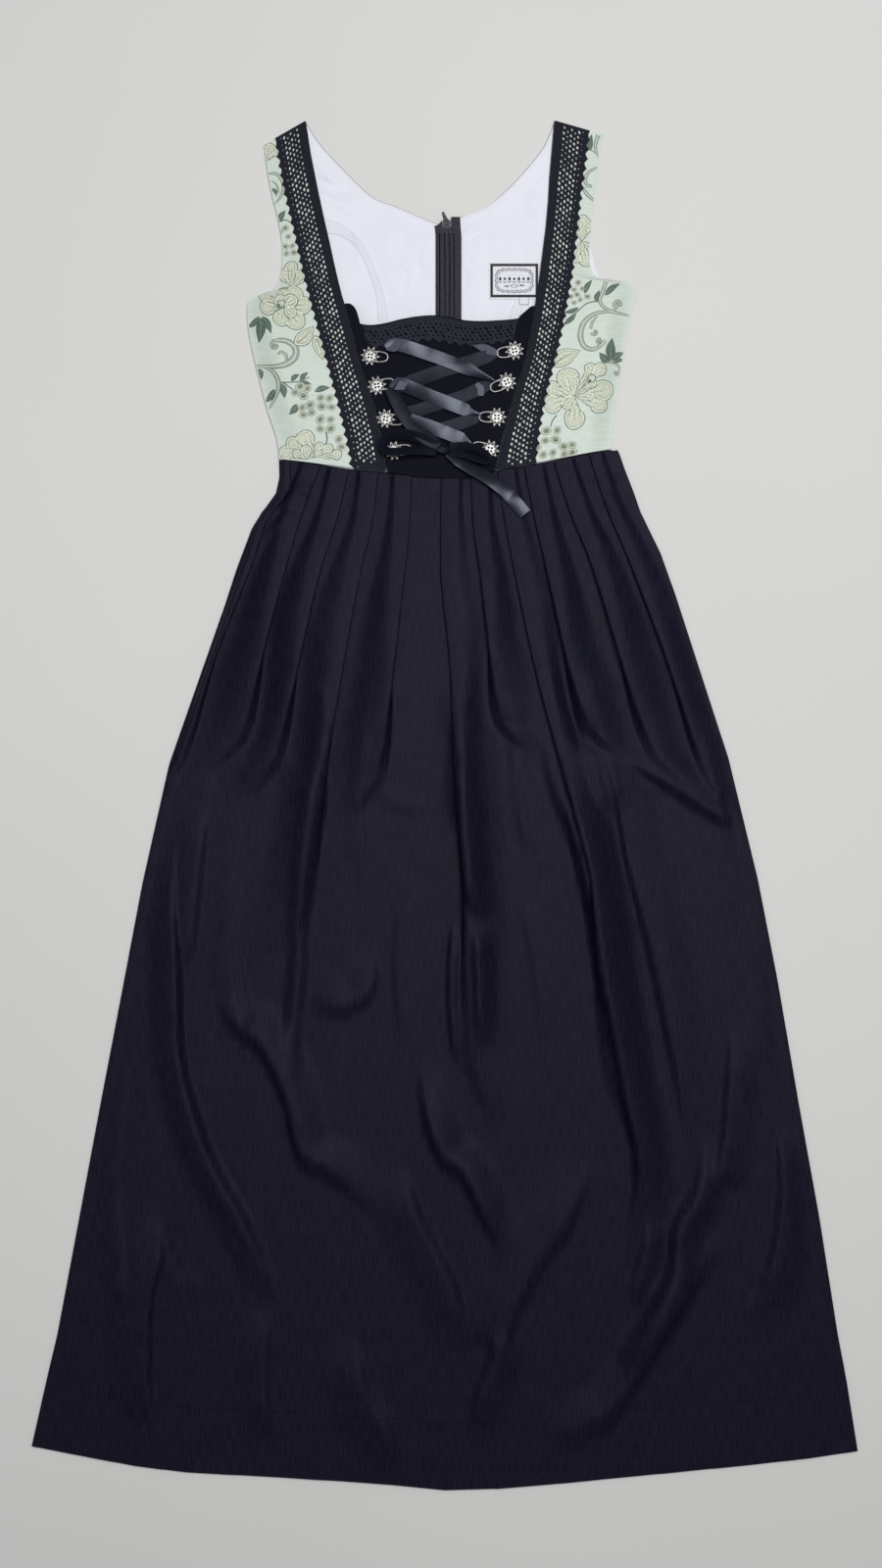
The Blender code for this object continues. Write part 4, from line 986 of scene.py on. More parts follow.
def knob(panel, x, y, radius, start, sweep):
    """The rolled end of a scroll, with its dark spot."""
    scroll(panel, curl(x, y, radius, start, sweep), [radius * 0.62, radius * 0.55, radius * 0.75],
           0.11)
    panel.fill("sage", move(disc(radius * 0.42), x, y), 0.28)
    panel.fill("mist", move(disc(radius * 0.24), x, y), 0.36)


def stem(panel, points, width=1.3):
    """A thin dark stem."""
    panel.fill("leaf", stroke(points, [width, width * 0.7]), 0.08)


def berries(panel, places, radius=4.15, turn=20):
    """A cluster of oval olive berries, each in a pale ring."""
    for k, (x, y) in enumerate(places):
        size = radius * (0.9 + 0.1 * math.cos(2.1 * k))
        lie = turn + 34 * math.sin(1.7 * k)
        for thread, share, up in (("sage", 1.24, 0.12),
                                  ("ivory", 1.02, 0.2),
                                  ("olive", 0.82, 0.28)):
            panel.fill(thread, move(disc(size * share, 0.82, 14), x, y, lie), up)
        panel.fill("leaf" if k % 3 == 0 else "sage",
                   move(leaf(size * 0.8, size * 0.3), x - size * 0.3, y - size * 0.15, lie), 0.36)


# %% [markdown]
# Both fronts are cut from the same cloth, but at different places of its
# pattern, so each has motifs of its own.  They are set one by one: a leaf or a
# petal by its foot, the way it points and its length and width, a stem or a
# scroll by a few points of its middle line.

# %% The left front's flowers
left = Drawing("left")
scroll(left,
       [(-186, 431), (-176, 429.5), (-165, 428.5), (-154, 431), (-146, 438), (-146, 447),
        (-154, 453), (-164, 454)], [2, 3.4, 4.8, 6.4, 7.2, 6.6, 5.4, 4.2])
knob(left, -165.5, 449, 5, 75, 300)
scroll(left, [(-154, 434), (-155, 440), (-160, 442.5), (-163, 440)], [2.8, 3.2, 2.6, 2.2])
scroll(left, [(-181, 430), (-172, 427), (-165, 420), (-162, 410), (-165, 400), (-172, 388)],
       [1.6, 3.2, 4.6, 5, 3.8, 1.2])
stem(left, [(-164, 413), (-152, 413), (-142, 414), (-132, 418)])
stem(left, [(-158, 413), (-151, 408), (-144, 403)])
for row in ((-150, 414, 38, 11, 5), (-141, 414, 48, 12, 5), (-142, 412, -4, 12, 4),
            (-160, 412, -76, 15, 7), (-166, 407, -128, 16, 7), (-144, 392, -128, 13, 7),
            (-127, 404, 14, 16, 6), (-182, 428, -78, 12, 5)):
    green_leaf(left, *row)
berries(left,
        [(-141, 409), (-134, 407), (-146, 403), (-138, 400), (-121, 398), (-112.5, 397.5),
         (-120, 389.5), (-110.5, 389), (-139, 388.5), (-131.5, 391), (-138, 381.5), (-130, 383.5),
         (-121.5, 377), (-111.5, 377), (-121.5, 368), (-111.5, 368), (-103.5, 358), (-101, 350.5)])
stem(left, [(-116, 365), (-115, 357), (-118.5, 350)], 1.5)
for row in ((-178.5, 478, -62, 20, 7), (-180, 477, -94, 25, 10), (-181, 478, -140, 17, 6)):
    green_leaf(left, *row)
cream_leaf(left, -147, 449, 44, 27, 15, -1.5)
cream_leaf(left, -127, 459, -72, 26, 13, 1.5)
flower(left, -148, 506, [(118, 22, 15), (62, 20, 15), (96, 27, 14)])
flower(left, -156, 487,
       [(152, 29, 12), (180, 25, 17), (100, 20, 22), (55, 24, 19), (255, 20, 18), (5, 27, 19),
        (308, 27, 20)])
flower(left, -157, 487, [(118, 13, 15), (322, 15, 13), (40, 16, 15)], 0.5)
eye(left, -163, 488, 30, 4.2)
flower(left, -128, 340,
       [(168, 35, 15), (146, 32, 15), (190, 38, 10), (116, 29, 20), (58, 17, 12), (8, 28, 11),
        (32, 22, 11)])
flower(left, -134, 338, [(100, 15, 12), (150, 17, 10)], 0.5)
scroll(left, [(-173, 618), (-165, 618), (-159, 611), (-158, 603), (-161, 595), (-167, 588)],
       [1.6, 3.4, 3.8, 3.6, 2.8, 1])
scroll(left, [(-170, 611), (-165, 608), (-163, 601), (-166, 596)], [1, 2, 2.2, 1])
green_leaf(left, -169, 604, -60, 9, 4)
green_leaf(left, -162, 571, 60, 13, 6)
stem(left, [(-162, 571), (-156, 573), (-150, 570)])
berries(left, [(-156, 565), (-161, 561), (-153, 556.5), (-156, 547),
              (-149, 547.5), (-155, 540), (-147.5, 541)], 2.9)
flower(left, -168, 634, [(110, 15, 12), (60, 13, 11), (164, 10, 9)])
left.make()

# %% The right front's flowers
right = Drawing("right")
scroll(right,
       [(182, 479), (171, 481), (159, 482), (146, 480), (136, 472), (132, 460), (135, 449),
        (143, 445), (151, 448), (156, 454)], [1.4, 2.2, 3, 4, 5.2, 6, 5.4, 4.4, 3.6, 3])
knob(right, 151, 453.5, 4.8, 10, -300)
scroll(right, [(149, 478), (144, 472), (142, 465)], [1.4, 2.6, 3])
knob(right, 146, 462, 3.8, 190, 260)
scroll(right, [(158, 514), (154, 502), (151, 493), (157, 485), (169, 481.5), (184, 479)],
       [3.6, 4.2, 3.8, 3.4, 2.6, 1.2])
knob(right, 169.5, 489.5, 5.4, 250, -280)
stem(right, [(150, 493), (138, 490), (129, 482), (118, 474)], 1.2)
for row in ((156, 498, 40, 20, 6), (148, 491, 76, 13, 5.5), (136, 500, 60, 16, 5.5),
            (131, 486, 196, 17, 4.5), (128, 481, 222, 19, 5), (162.5, 434, 88, 23, 10),
            (161, 433, 140, 14, 8), (163, 435, 34, 15, 6.5), (164, 433, 14, 13, 4.5)):
    green_leaf(right, *row)
berries(right, [(130, 511), (134, 505), (126, 504), (129, 499), (123, 497),
               (132, 494), (139, 497), (126, 491)], 2.7)
scroll(right, [(160, 433), (167, 432), (171, 427), (169, 423)], [1.2, 2.2, 2.4, 2.4])
knob(right, 167.5, 423.5, 3.2, 0, -240)
cream_leaf(right, 104, 429, 28, 32, 17, 1.8)
flower(right, 127, 399,
       [(48, 43, 14), (62, 37, 12), (160, 31, 16), (198, 32, 19), (112, 30, 23), (14, 39, 21),
        (342, 33, 18), (268, 32, 21)])
flower(right, 127, 400, [(150, 17, 15), (226, 17, 15), (352, 21, 12), (100, 20, 14)], 0.36)
petal(right, 124, 396, 40, 30, 11, 0.44)
eye(right, 140, 414, 42, 4.4)
berries(right,
        [(99, 366), (109.5, 366.5), (98, 356.5), (108, 357.5), (96, 343), (105.5, 345), (116, 351),
         (124, 352.5), (116.5, 343.5), (124.5, 345), (106.5, 336.5), (90, 350)])
stem(right, [(109, 381), (105, 376), (103, 370)], 1.3)
flower(right, 133, 553,
       [(84, 25, 15), (112, 24, 12), (60, 22, 12), (250, 24, 14), (285, 27, 15), (318, 18, 12)])
flower(right, 134, 552, [(90, 12, 10), (270, 13, 10)], 0.36)
scroll(right, [(150, 625), (141, 620), (137, 613), (139, 607), (144, 606)],
       [1.4, 3.2, 4, 3.4, 2.6])
scroll(right, [(134, 606), (139, 598), (148, 590)], [2.6, 4, 2.2])
scroll(right, [(150, 634), (147, 645), (150, 656)], [1.4, 3.4, 4.6])
green_leaf(right, 142.5, 641, 86, 16, 6)
stem(right, [(149, 637), (143, 641), (136, 641)], 1)
right.make()

# %% [markdown]
# ## Lace along the front edges
# The lace is bobbin lace: a firm inner edge, a net of slanted holes, a
# denser rim with a row of small holes, and scallops.  It is drawn once as a
# flat strip, with s along it and t across it, and then bent to run beside
# the front edge.  The holes are real holes, so the brocade shows through.  The
# net is the same all along, but each hole differs a little in size and place,
# as handmade ones do.

# %% A strip's own directions
END_GAP, EDGE_STEP = 0.1, 4          # of a strip's outline
STRIP_SPACING = 3                    # of the points that fill it
STRIP_STEPS, STRIP_SPREAD = 220, 12  # its outer line is made calm


class Strip:
    """Maps s along and t across, in mm, onto a strip between two lines that
    lies over the front at one height."""

    def __init__(self, inner, outer, nominal, over):
        self.inner = even(inner, STRIP_STEPS, False)
        outer = even(outer, STRIP_STEPS, False)
        kernel = np.ones(2 * STRIP_SPREAD + 1) / (2 * STRIP_SPREAD + 1)
        padded = np.vstack([np.repeat(outer[:1], STRIP_SPREAD, axis=0), outer,
                            np.repeat(outer[-1:], STRIP_SPREAD, axis=0)])
        calm = np.column_stack([np.convolve(axis, kernel, "valid") for axis in padded.T])
        step = np.arange(STRIP_STEPS + 1)
        keep = smoothstep(np.minimum(step, STRIP_STEPS - step) / STRIP_SPREAD)
        self.outer = outer + (calm - outer) * keep[:, None]
        self.walked = lengths(self.inner)
        self.length = self.walked[-1]
        self.nominal = nominal
        self.height = front_over(over)

    def at(self, s, t, lower=0):
        """Points of the dress at s and t, lower mm under the strip's top."""
        near, far = (read_line(line, self.walked, s) for line in (self.inner, self.outer))
        share = np.broadcast_to(t / self.nominal, len(s))[:, None]
        return lift(near + (far - near) * share, self.height) - (0, 0, lower)

    def lay(self, pile, loop, holes):
        """Fill a pattern drawn in s and t and lay it on the dress."""
        flat, triangles = fill_flat(loop, None, holes, STRIP_SPACING)
        points = self.at(flat[:, 0], flat[:, 1])
        a, b, c = points[list(triangles[0]), :2]
        turn = (b[0] - a[0]) * (c[1] - a[1]) - (c[0] - a[0]) * (b[1] - a[1])
        if turn < 0:
            triangles = [t[::-1] for t in triangles]
        pile.add(points, triangles)


# %% The lace's pattern
LACE_WIDTH = 34    # its nominal width, inner edge to scallops
LACE_START = -0.5  # its inner edge, a little past the front's
SCALLOP_PITCH = 10.2
SCALLOP = 3
NET_START, NET_END = 7.6, 25.6
NET_COLUMNS = 5
NET_PITCH = 5.6      # from hole to hole, along the lace
HOLE = (1.65, 1.25)  # half its length along the lace and across it
HOLE_SLANT = 0.45
HOLE_SIZES, HOLE_SWAY = (0.55, 1.15), 0.5  # how the holes differ
RIM_HOLE_AT, RIM_HOLE_PITCH = 27.4, 6.4
LACE_WALL = 0.6


def tooth(s):
    """A row of points with rounded valleys, from 0 to 1."""
    return np.abs((s / SCALLOP_PITCH) % 1 * 2 - 1) ** 1.5


def net_holes(length, start, end, columns, pitch, seed, half=HOLE):
    """Holes of a net, as rounded diamonds in s and t."""
    random.seed(seed)
    step = (end - start) / columns
    angle = np.radians(np.arange(8) * 45)
    long, wide = (np.sign(turn) * np.abs(turn) ** 1.3 for turn in (np.cos(angle), np.sin(angle)))
    holes = []
    for column in range(columns):
        t0 = start + (column + 0.5) * step
        shift = pitch / 2 if column % 2 else 0
        for k in range(int((length - pitch) / pitch)):
            size = random.uniform(*HOLE_SIZES)
            sway = random.uniform(-HOLE_SWAY, HOLE_SWAY)
            s0 = 0.8 * pitch + k * pitch + shift + sway
            ds, dt = long * (half[0] * size), wide * (half[1] * size)
            holes.append(np.column_stack([s0 + ds + HOLE_SLANT * dt, t0 + dt]))
    return holes


def lace_outline(length):
    """The lace's outline in s and t, scalloped along its outer edge."""
    s = np.arange(0, length, SCALLOP_PITCH / 12)
    outer = np.column_stack([s, LACE_WIDTH + SCALLOP * (tooth(s) - 0.5)])
    s = np.arange(length - END_GAP, 0, -EDGE_STEP)
    inner = np.column_stack([s, np.full(len(s), LACE_START)])
    return np.vstack([outer, [[length - END_GAP, LACE_WIDTH]], inner, [[0, LACE_START]]])


# %% The two lace strips with their gimp cords and seams
LACE_OVER = BROCADE + SEAM_GAP
LACE_CUT = 0.036  # metres, the width of the unsewn lace
# Gimp cords: distance across the lace, radius, and how far they sway.
LACE_GIMP = [(0, 0.5, 0), (2, 0.38, 0), (4, 0.38, 0), (6.6, 0.45, 0), (26.4, 0.42, 0.2),
             (29.3, 0.38, 0.8), (32.4, 0.45, SCALLOP * 0.85)]
LACE_SEAM_AT = -0.95


def lace_strip(side):
    """One lace with its net, rim, gimp cords and the seam on its edge."""
    near, far = sides("lace_" + side)
    inner, outer = (far, near) if side == "left" else (near, far)
    strip = Strip(inner, outer, LACE_WIDTH, LACE_OVER + LACE_WALL)
    holes = net_holes(strip.length, NET_START, NET_END, NET_COLUMNS, NET_PITCH, 7)
    for k in range(int(strip.length / RIM_HOLE_PITCH)):
        small = disc(random.uniform(0.45, 0.8), 1.1, 6)
        holes.append(small + (4 + RIM_HOLE_PITCH * k, RIM_HOLE_AT + 0.6 * (k % 2)))
    net, gimp, seam = Pile(), Pile(), Pile()
    strip.lay(net, lace_outline(strip.length), holes)
    lace = net.make("bobbin_lace_" + side, LACE, "lace", LACE_WALL, stands_for=["lace_" + side])
    s = np.arange(1, strip.length - 1, 1.5)
    for t, radius, sway in LACE_GIMP:
        tube(gimp, strip.at(s, t + sway * (tooth(s) - 0.5)), radius)
    gimp.make("lace_gimp_" + side, LACE, "lace")
    stitches(seam, strip.at(s, LACE_SEAM_AT, LACE_WALL / 2), 3, 0.9, 0.42)
    seam.make("lace_seam_" + side, THREAD_BLACK_AND_GROOVE_SHADE, "lace")
    print(lace.name, "holes:", len(holes), "triangles:", len(net.faces),
          "length:", round(strip.length))
    lay_cloth(lace, (LACE_CUT, round(strip.length * MM, 3)), grow=1.02)


for side in SIDES:
    lace_strip(side)

# %% [markdown]
# ## Flat pieces
# A piece that lies flat is filled from its outline: soft curves run between
# its real corners, and a height function lifts every point.

# %% Outlines made soft and filled


def soften(loop, spacing, sharp=38):
    """An outline with soft curves between its real corners."""
    ahead = np.roll(loop, -1, axis=0) - loop
    way = np.degrees(np.arctan2(ahead[:, 1], ahead[:, 0]))
    turn = np.abs((way - np.roll(way, 1) + 180) % 360 - 180)
    corners = np.flatnonzero(turn > sharp)
    out = []
    for a, b in zip(corners, np.roll(corners, -1)):
        line = walk(loop, a, b)
        count = max(int(lengths(line)[-1] / spacing), 1)
        out.append(even(line, count, len(line) > 2)[:-1])
    return np.vstack(out)


def filled_sheet(name, loop, height, wall, look, slot, stands_for, spacing):
    """A sheet filled into a closed outline, its underside at height."""
    pile = Pile()
    lay_filled(pile, loop, height, spacing=spacing)
    return pile.make(name, look, slot, wall, 1, stands_for)


def flat_piece(name, node, height, wall, look, slot, spacing, sharp=38):
    """A sheet filled into a solid's softened outline."""
    loop = soften(outline(node), spacing, sharp)
    return filled_sheet(name, loop, height, wall, look, slot, [node], spacing)


# %% [markdown]
# ## Plastron, bands and the crochet under the neckline
# The plastron is the dark panel behind the lacing.  It runs under the two
# front bands, whose rounded horns stand above its neckline.  A strip of
# crochet lace with a zigzag edge is sewn along that neckline.

# %% The plastron, softly wrinkled by the lacing
PLASTRON_CREASES = [
    Crease(-52, 438, -30, 428, -8, 432, 0.9, 4),
    Crease(44, 424, 30, 428, 10, 420, 0.8, 4),
    Crease(-44, 404, -24, 396, 0, 400, 0.7, 4),
    Crease(40, 396, 22, 392, 4, 394, 0.7, 4),
    Crease(-36, 374, -20, 370, -6, 378, 0.7, 4),
    Crease(34, 366, 20, 368, 6, 374, 0.6, 4),
    Crease(-46, 334, -10, 330, 30, 332, 0.6, 4),
]


def plastron_z(x, y):
    """Height of the plastron's underside, wrinkled under the lacing."""
    return front_z(x, y) + relief_of(PLASTRON_CREASES, x, y)


plastron = flat_piece("plastron_panel", "plastron", plastron_z,
                      COTTON_WALL, BODICE_COTTON, "cotton", 2.6)
lay_cloth(plastron, (0.175, 0.16))

# %% The two front bands with their horns
BAND_OVER = COTTON_WALL + SEAM_GAP
for side in SIDES:
    band = flat_piece("front_band_" + side + "_cloth", "front_band_" + side, front_over(BAND_OVER),
                      COTTON_WALL, BODICE_COTTON, "cotton", 2, 70)
    lay_cloth(band, (0.018, 0.17))

# %% The crochet strip: a net with a zigzag edge
CROCHET_DEPTH, CROCHET_BELLY = 20, 3
CROCHET_PITCH, CROCHET_ZIG = 11, 3.4  # of its zigzag edge
CROCHET_TAPER = 0.955                 # its foot is this much shorter than its top
CROCHET_MIDDLE = 2                    # x of its middle
CROCHET_NET = {"start": 4.6, "end": CROCHET_DEPTH - 2.6, "columns": 4,
               "pitch": 5, "seed": 11, "half": (1.8, 1.55)}
CROCHET_CUT = 0.026  # metres, its width with the zigzag
# Cords sewn along it: distance from its top and radius.
CROCHET_GIMP = [(0.7, 0.55), (2.2, 0.4), (3.7, 0.45), (CROCHET_DEPTH - 1.8, 0.4)]


def zigzag_edge(s):
    """The lower edge of the crochet, as a distance from its top."""
    wave = np.abs((s / CROCHET_PITCH) % 1 - 0.5) * 2
    return CROCHET_DEPTH + CROCHET_ZIG * (wave - 0.4)


def crochet_strip():
    """The strip hangs from the neckline, broadest at its middle."""
    loop = outline("plastron_lace")
    top_left, _, _, top_right = corners(loop)
    top = walk(loop, top_right, top_left)[::-1]
    belly = np.sin(np.pi * np.linspace(0, 1, len(top)))
    foot = top - np.column_stack([belly * 0, CROCHET_DEPTH + CROCHET_BELLY * belly])
    foot[:, 0] = (foot[:, 0] - CROCHET_MIDDLE) * CROCHET_TAPER + CROCHET_MIDDLE
    return Strip(top, foot, CROCHET_DEPTH, BAND_OVER + LACE_WALL)


strip = crochet_strip()
s = np.arange(0, strip.length, CROCHET_PITCH / 8)
rim = np.column_stack([s, zigzag_edge(s)])
s = np.arange(strip.length - END_GAP, 0, -EDGE_STEP)
top = np.column_stack([s, s * 0])
holes = net_holes(strip.length, **CROCHET_NET)
net, gimp = Pile(), Pile()
strip.lay(net, np.vstack([rim, top]), holes)
crochet = net.make("crochet_lace", CROCHET, "lace", LACE_WALL, stands_for=["plastron_lace"])
s = np.arange(0.6, strip.length - 0.6, 1.2)
for t, radius in [*CROCHET_GIMP, (zigzag_edge(s) - 0.5, 0.45)]:
    tube(gimp, strip.at(s, t), radius)
gimp.make("crochet_gimp", CROCHET, "lace")
lay_cloth(crochet, (round(strip.length * MM, 3), CROCHET_CUT), grow=1.05)
print("crochet holes:", len(holes))

# %% [markdown]
# ## White lined back
# Between the straps the inside of the back shows: white lining, seamed at
# the sides of the back and at the zip.  It lies almost flat, with a stitched
# line along the neckline and a few soft wrinkles where the zip is sewn in.

# %% The lining's wrinkles and seams
LINING_FLOOR = 1.5
LINING_WALL = 1
LINING_CREASES = [
    Crease(14, 554, 26, 564, 48, 570, 2.2, 2.6),
    Crease(16, 546, 30, 551, 42, 562, 1.9, 2.4),
    Crease(17, 574, 38, 578, 62, 590, 1.4, 3),
    Crease(18, 536, 26, 518, 23, 500, 1.5, 3),
    Crease(40, 552, 58, 562, 76, 584, 1.3, 2.8),
    Crease(66, 556, 84, 578, 92, 604, 1.5, 3),
    Crease(-126, 622, -112, 612, -98, 606, 2.4, 3),
    Crease(-122, 604, -104, 596, -86, 592, 2, 2.8),
    Crease(-112, 590, -92, 580, -72, 576, 1.5, 3),
    Crease(-90, 566, -84, 548, -86, 530, 1.3, 3.2),
    Crease(-60, 560, -50, 556, -40, 560, 1.2, 3.2),
    Crease(-46, 542, -32, 520, -36, 500, 1.3, 3.6),
    Crease(-58, 520, -48, 500, -54, 484, 1.2, 3.2),
    Crease(-14, 556, -22, 536, -17, 512, 1.4, 2.8),
    Crease(104, 592, 98, 562, 102, 536, 1.2, 3.2),
]


def lining_z(x, y):
    """The lining's underside, low enough to stay under the zip tape."""
    near_zip = smoothstep((np.abs(x - 3.5) - 11) / 4)
    under_front = smoothstep((y - 480) / 10)
    return LINING_FLOOR + (relief_of(LINING_CREASES, x, y) * near_zip * under_front)


def on_lining(extra):
    """Height function for what lies that far over the lining's face."""
    return lambda x, y: lining_z(x, y) + LINING_WALL + extra


print("wrinkles of the lining:", len(LINING_CREASES))

# %% The curved seams of the lining, with painted shade
SEAMS = {
    "left": ([(-125, 577), (-112, 573), (-100, 568), (-88, 558), (-78, 545),
              (-69.5, 528), (-62, 507), (-58, 490), (-55, 472)],
             [(-65, 474), (-67, 499), (-70, 511), (-74.5, 523),
              (-80.5, 537), (-89, 549), (-100, 557), (-112, 560),
              (-124, 561)]),
    "right": ([(60.5, 471), (65.5, 486), (71, 498)],
              [(80, 498), (75, 485), (70, 471)]),
}
# Each seam is a darker band with grey lines at its edges, as painted shade.
seam_rows, seams = Pile(), {}
for side, lines in SEAMS.items():
    outer, inner = (even(np.array(line, float), 50) for line in lines)
    seams[side] = filled_sheet("lining_seam_" + side, np.vstack([outer, inner]), on_lining(0.1),
                               0.4, SEAM_SHADE_CLOTH, "lining", (), 2.4)
    for line in (outer, inner):
        tube(seam_rows, lift(line, on_lining(0.45)), 0.22, 5)
seam_rows.make("lining_seam_edges", SEAM_SHADE_AND_STITCH, "lining")
print("lining seams:", list(seams))

# %% Lining and back panels
for side in SIDES:
    lining = flat_piece("lining_" + side, "lining_back_" + side, lining_z,
                        LINING_WALL, LINING, "lining", 2)
    lay_cloth(lining, (0.205, 0.35))
    back = flat_piece("brocade_back_" + side, "bodice_back_" + side,
                      0, BROCADE, GROUND, "brocade", 6)
    lay_cloth(back, (0.21, 0.352))

# %% Neckline piping and the back's stitching
PIPING_RADIUS = 0.45
NECK_HALF, NECK_FOOT = 137, 566  # the neckline lies inside these
NECK_ROWS = (1.8, 17)            # stitched this far below it
ZIP_MIDDLE, ZIP_CLEAR = 2, 12    # no stitches on the zip
piping, rows = Pile(), Pile()
for side in SIDES:
    loop = outline("lining_back_" + side)
    edge = even(loop[(np.abs(loop[:, 0]) < NECK_HALF) & (loop[:, 1] > NECK_FOOT)], 70)
    tube(piping, lift(edge, LINING_FLOOR + LINING_WALL * 0.55), PIPING_RADIUS)
    down = normals(edge)
    down *= np.where(down[:, 1] > 0, -1, 1)[:, None]
    for gap in NECK_ROWS:
        line = edge + down * gap
        line = line[np.abs(line[:, 0] - ZIP_MIDDLE) > ZIP_CLEAR]
        stitches(rows, lift(line, on_lining(0)), 2.6, 0.55, 0.16)
piping.make("neckline_piping", THREAD_DARK, "brocade")
# The stitches take the grey of the seams' painted shade lines.
rows.make("neckline_stitches", SEAM_SHADE_AND_STITCH, "lining")
print("neckline stitches:", len(rows.faces) // 12)

# %% [markdown]
# ## Zip
# The zip closes the centre back.  Its two woven tapes are ribbed, the coil
# runs between them under a fold of tape, and the slider stands at the top.
# The pull tab lies on the outer face and points up past the neckline, so its
# tip shows.  It is the one piece of the dress that rides on a body of its own.

# %% Ribbed tapes and the coil
TAPE_FLOOR = 2.8
TAPE_WALL = 1
TAPE_TOP = TAPE_FLOOR + TAPE_WALL
TAPE_CUT = (0.016, 0.25)  # metres, of one flat tape
TAPE_STEPS = 160
# Ribs across each tape: place from its left edge, and height.
TAPE_RIBS = {"left": ((0.22, 0.35), (0.62, 0.55), (0.88, 0.45)),
             "right": ((0.14, 0.45), (0.42, 0.55), (0.7, 0.35))}
RIB_HALF = 0.09  # half a rib's width, as a share of the tape


def ribbed(side, near, far):
    """Height function of a tape whose ribs run down the dress."""
    def height(x, y):
        left, right = (np.interp(y, line[::-1, 1], line[::-1, 0]) for line in (near, far))
        share = (x - left) / (right - left)
        return TAPE_FLOOR + sum(tall * np.exp(-((share - at) / RIB_HALF) ** 2)
                                for at, tall in TAPE_RIBS[side])
    return height


TAPE_FOLD = [(-9, 556), (7.6, 556), (7.4, 570), (5.6, 566),
             (-2.2, 566), (-3, 572.6), (-5.4, 569.6), (-9.3, 566.6)]


def fold_z(x, y):
    """Height of the tape's folded end, which rises towards its top."""
    return TAPE_FLOOR + 0.25 + 0.5 * smoothstep((y - 558) / 6)


tape_fold = filled_sheet("zip_tape_fold", soften(np.array(TAPE_FOLD), 1.2, 20), fold_z, 0.7, TAPE,
                         "zip_tape", (), 1.8)
for side in SIDES:
    near, far = (even(line, TAPE_STEPS, False) for line in sides("zip_tape_" + side))
    tape = cloth("zip_tape_" + side + "_woven",
                 lift(between(near, far, 18), ribbed(side, near, far)),
                 TAPE_WALL, TAPE, "zip_tape", ["zip_tape_" + side])
    lay_cloth(tape, TAPE_CUT)

# %% Painted shade in the grooves, edging and the coil's bites
TAPE_SEEN_FROM = 450  # below this the front covers the zip
GROOVE_SHADE_AT = (-5.3, -0.2, 4.4, 8.6)
COIL_X, COIL_TOP, COIL_FOOT, COIL_PITCH = 1.2, 562, 330, 1.6
COIL_BITES = int((COIL_TOP - COIL_FOOT) / COIL_PITCH)

groove_shade, edging, coil = Pile(), Pile(), Pile()
# Black cords along the tape's grooves: painted shade in the grooves.
for x in GROOVE_SHADE_AT:
    line = even(np.array([(x, 560), (x + 0.3, 520), (x + 0.2, TAPE_SEEN_FROM)]), 60)
    tube(groove_shade, lift(line, TAPE_TOP + 0.3), 0.55)
for side, outer in (("left", 0), ("right", 1)):
    line = even(sides("zip_tape_" + side)[outer], 120, False)
    line = line[line[:, 1] > TAPE_SEEN_FROM]
    stitches(edging, lift(line, TAPE_TOP + 0.25), 2.6, 0.85, 0.62)
for k in range(COIL_BITES):
    y = COIL_TOP - k * COIL_PITCH
    way = 1 if k % 2 else -1
    bite = [(COIL_X + way * 1.5, y + 0.5, TAPE_FLOOR + 0.9),
            (COIL_X + way * 0.4, y, TAPE_FLOOR + 1.25),
            (COIL_X - way * 0.8, y, TAPE_FLOOR + 1)]
    tube(coil, bite, 0.38, 5)
groove_shade.make("zip_tape_groove_shade", THREAD_BLACK_AND_GROOVE_SHADE, "zip_tape")
edging.make("zip_tape_edging", THREAD_DARK, "zip_tape")
coil.make("zip_coil", ZIP_METAL, "zip_metal")
print("coil bites:", COIL_BITES)

# %% Slider and pull tab


def bevelled_copy(node, width, segments):
    """A copy of a solid with its edges rounded off."""
    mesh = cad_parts[node].data.copy()
    shape = bmesh.new()
    shape.from_mesh(mesh)
    bmesh.ops.remove_doubles(shape, verts=shape.verts, dist=WELD * MM)
    bmesh.ops.dissolve_limit(shape, angle_limit=math.radians(2),
                             verts=shape.verts, edges=shape.edges)
    shape.to_mesh(mesh)
    shape.free()
    mesh.materials.clear()
    mesh.shade_smooth()
    item = bpy.data.objects.new(node + "_polished", mesh)
    round_off = item.modifiers.new("edges", "BEVEL")
    round_off.width = width * MM
    round_off.segments = segments
    round_off.harden_normals = True
    return item


slider = place(bevelled_copy("zip_slider", 0.35, 3), ZIP_METAL, "zip_metal", ["zip_slider"])
pull = place(bevelled_copy("zip_pull", 0.22, 2), ZIP_METAL, "zip_metal", ["zip_pull"], "zip_pull")
bridge = Pile()
tube(bridge, [(-0.3, 566.4, 4.8), (1.6, 567, 5.5), (3.4, 566.4, 4.8)], 0.5, 8)
tube(bridge, [(1.6, 566.6, 4.7), (1.6, 569.4, 5.2), (1.7, 572.2, 4.7)], 0.7, 8)
bridge.make("zip_slider_bridge", ZIP_METAL, "zip_metal")

# %% [markdown]
# ## Label
# A woven label is sewn to the right half of the lining, with a small tab
# under its lower edge.  It carries a plain black frame and a row of curls and
# lozenges, a generic ornament that says nothing.

# %% The label and its tab
(x0, y0, _), (x1, y1, _) = (tuple(v / MM for v in corner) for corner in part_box("label"))
(tab_x0, tab_y0, _), (tab_x1, tab_y1, _) = (
    tuple(v / MM for v in corner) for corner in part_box("label_tab"))
LABEL_WALL = 0.5
PATCH_COLUMNS, PATCH_ROWS = 26, 20
PATCH_LIFT, PATCH_WAVE = 0.35, 9  # the patch waves a little
TAB_HIDDEN = 4.8                  # of the tab, under the label


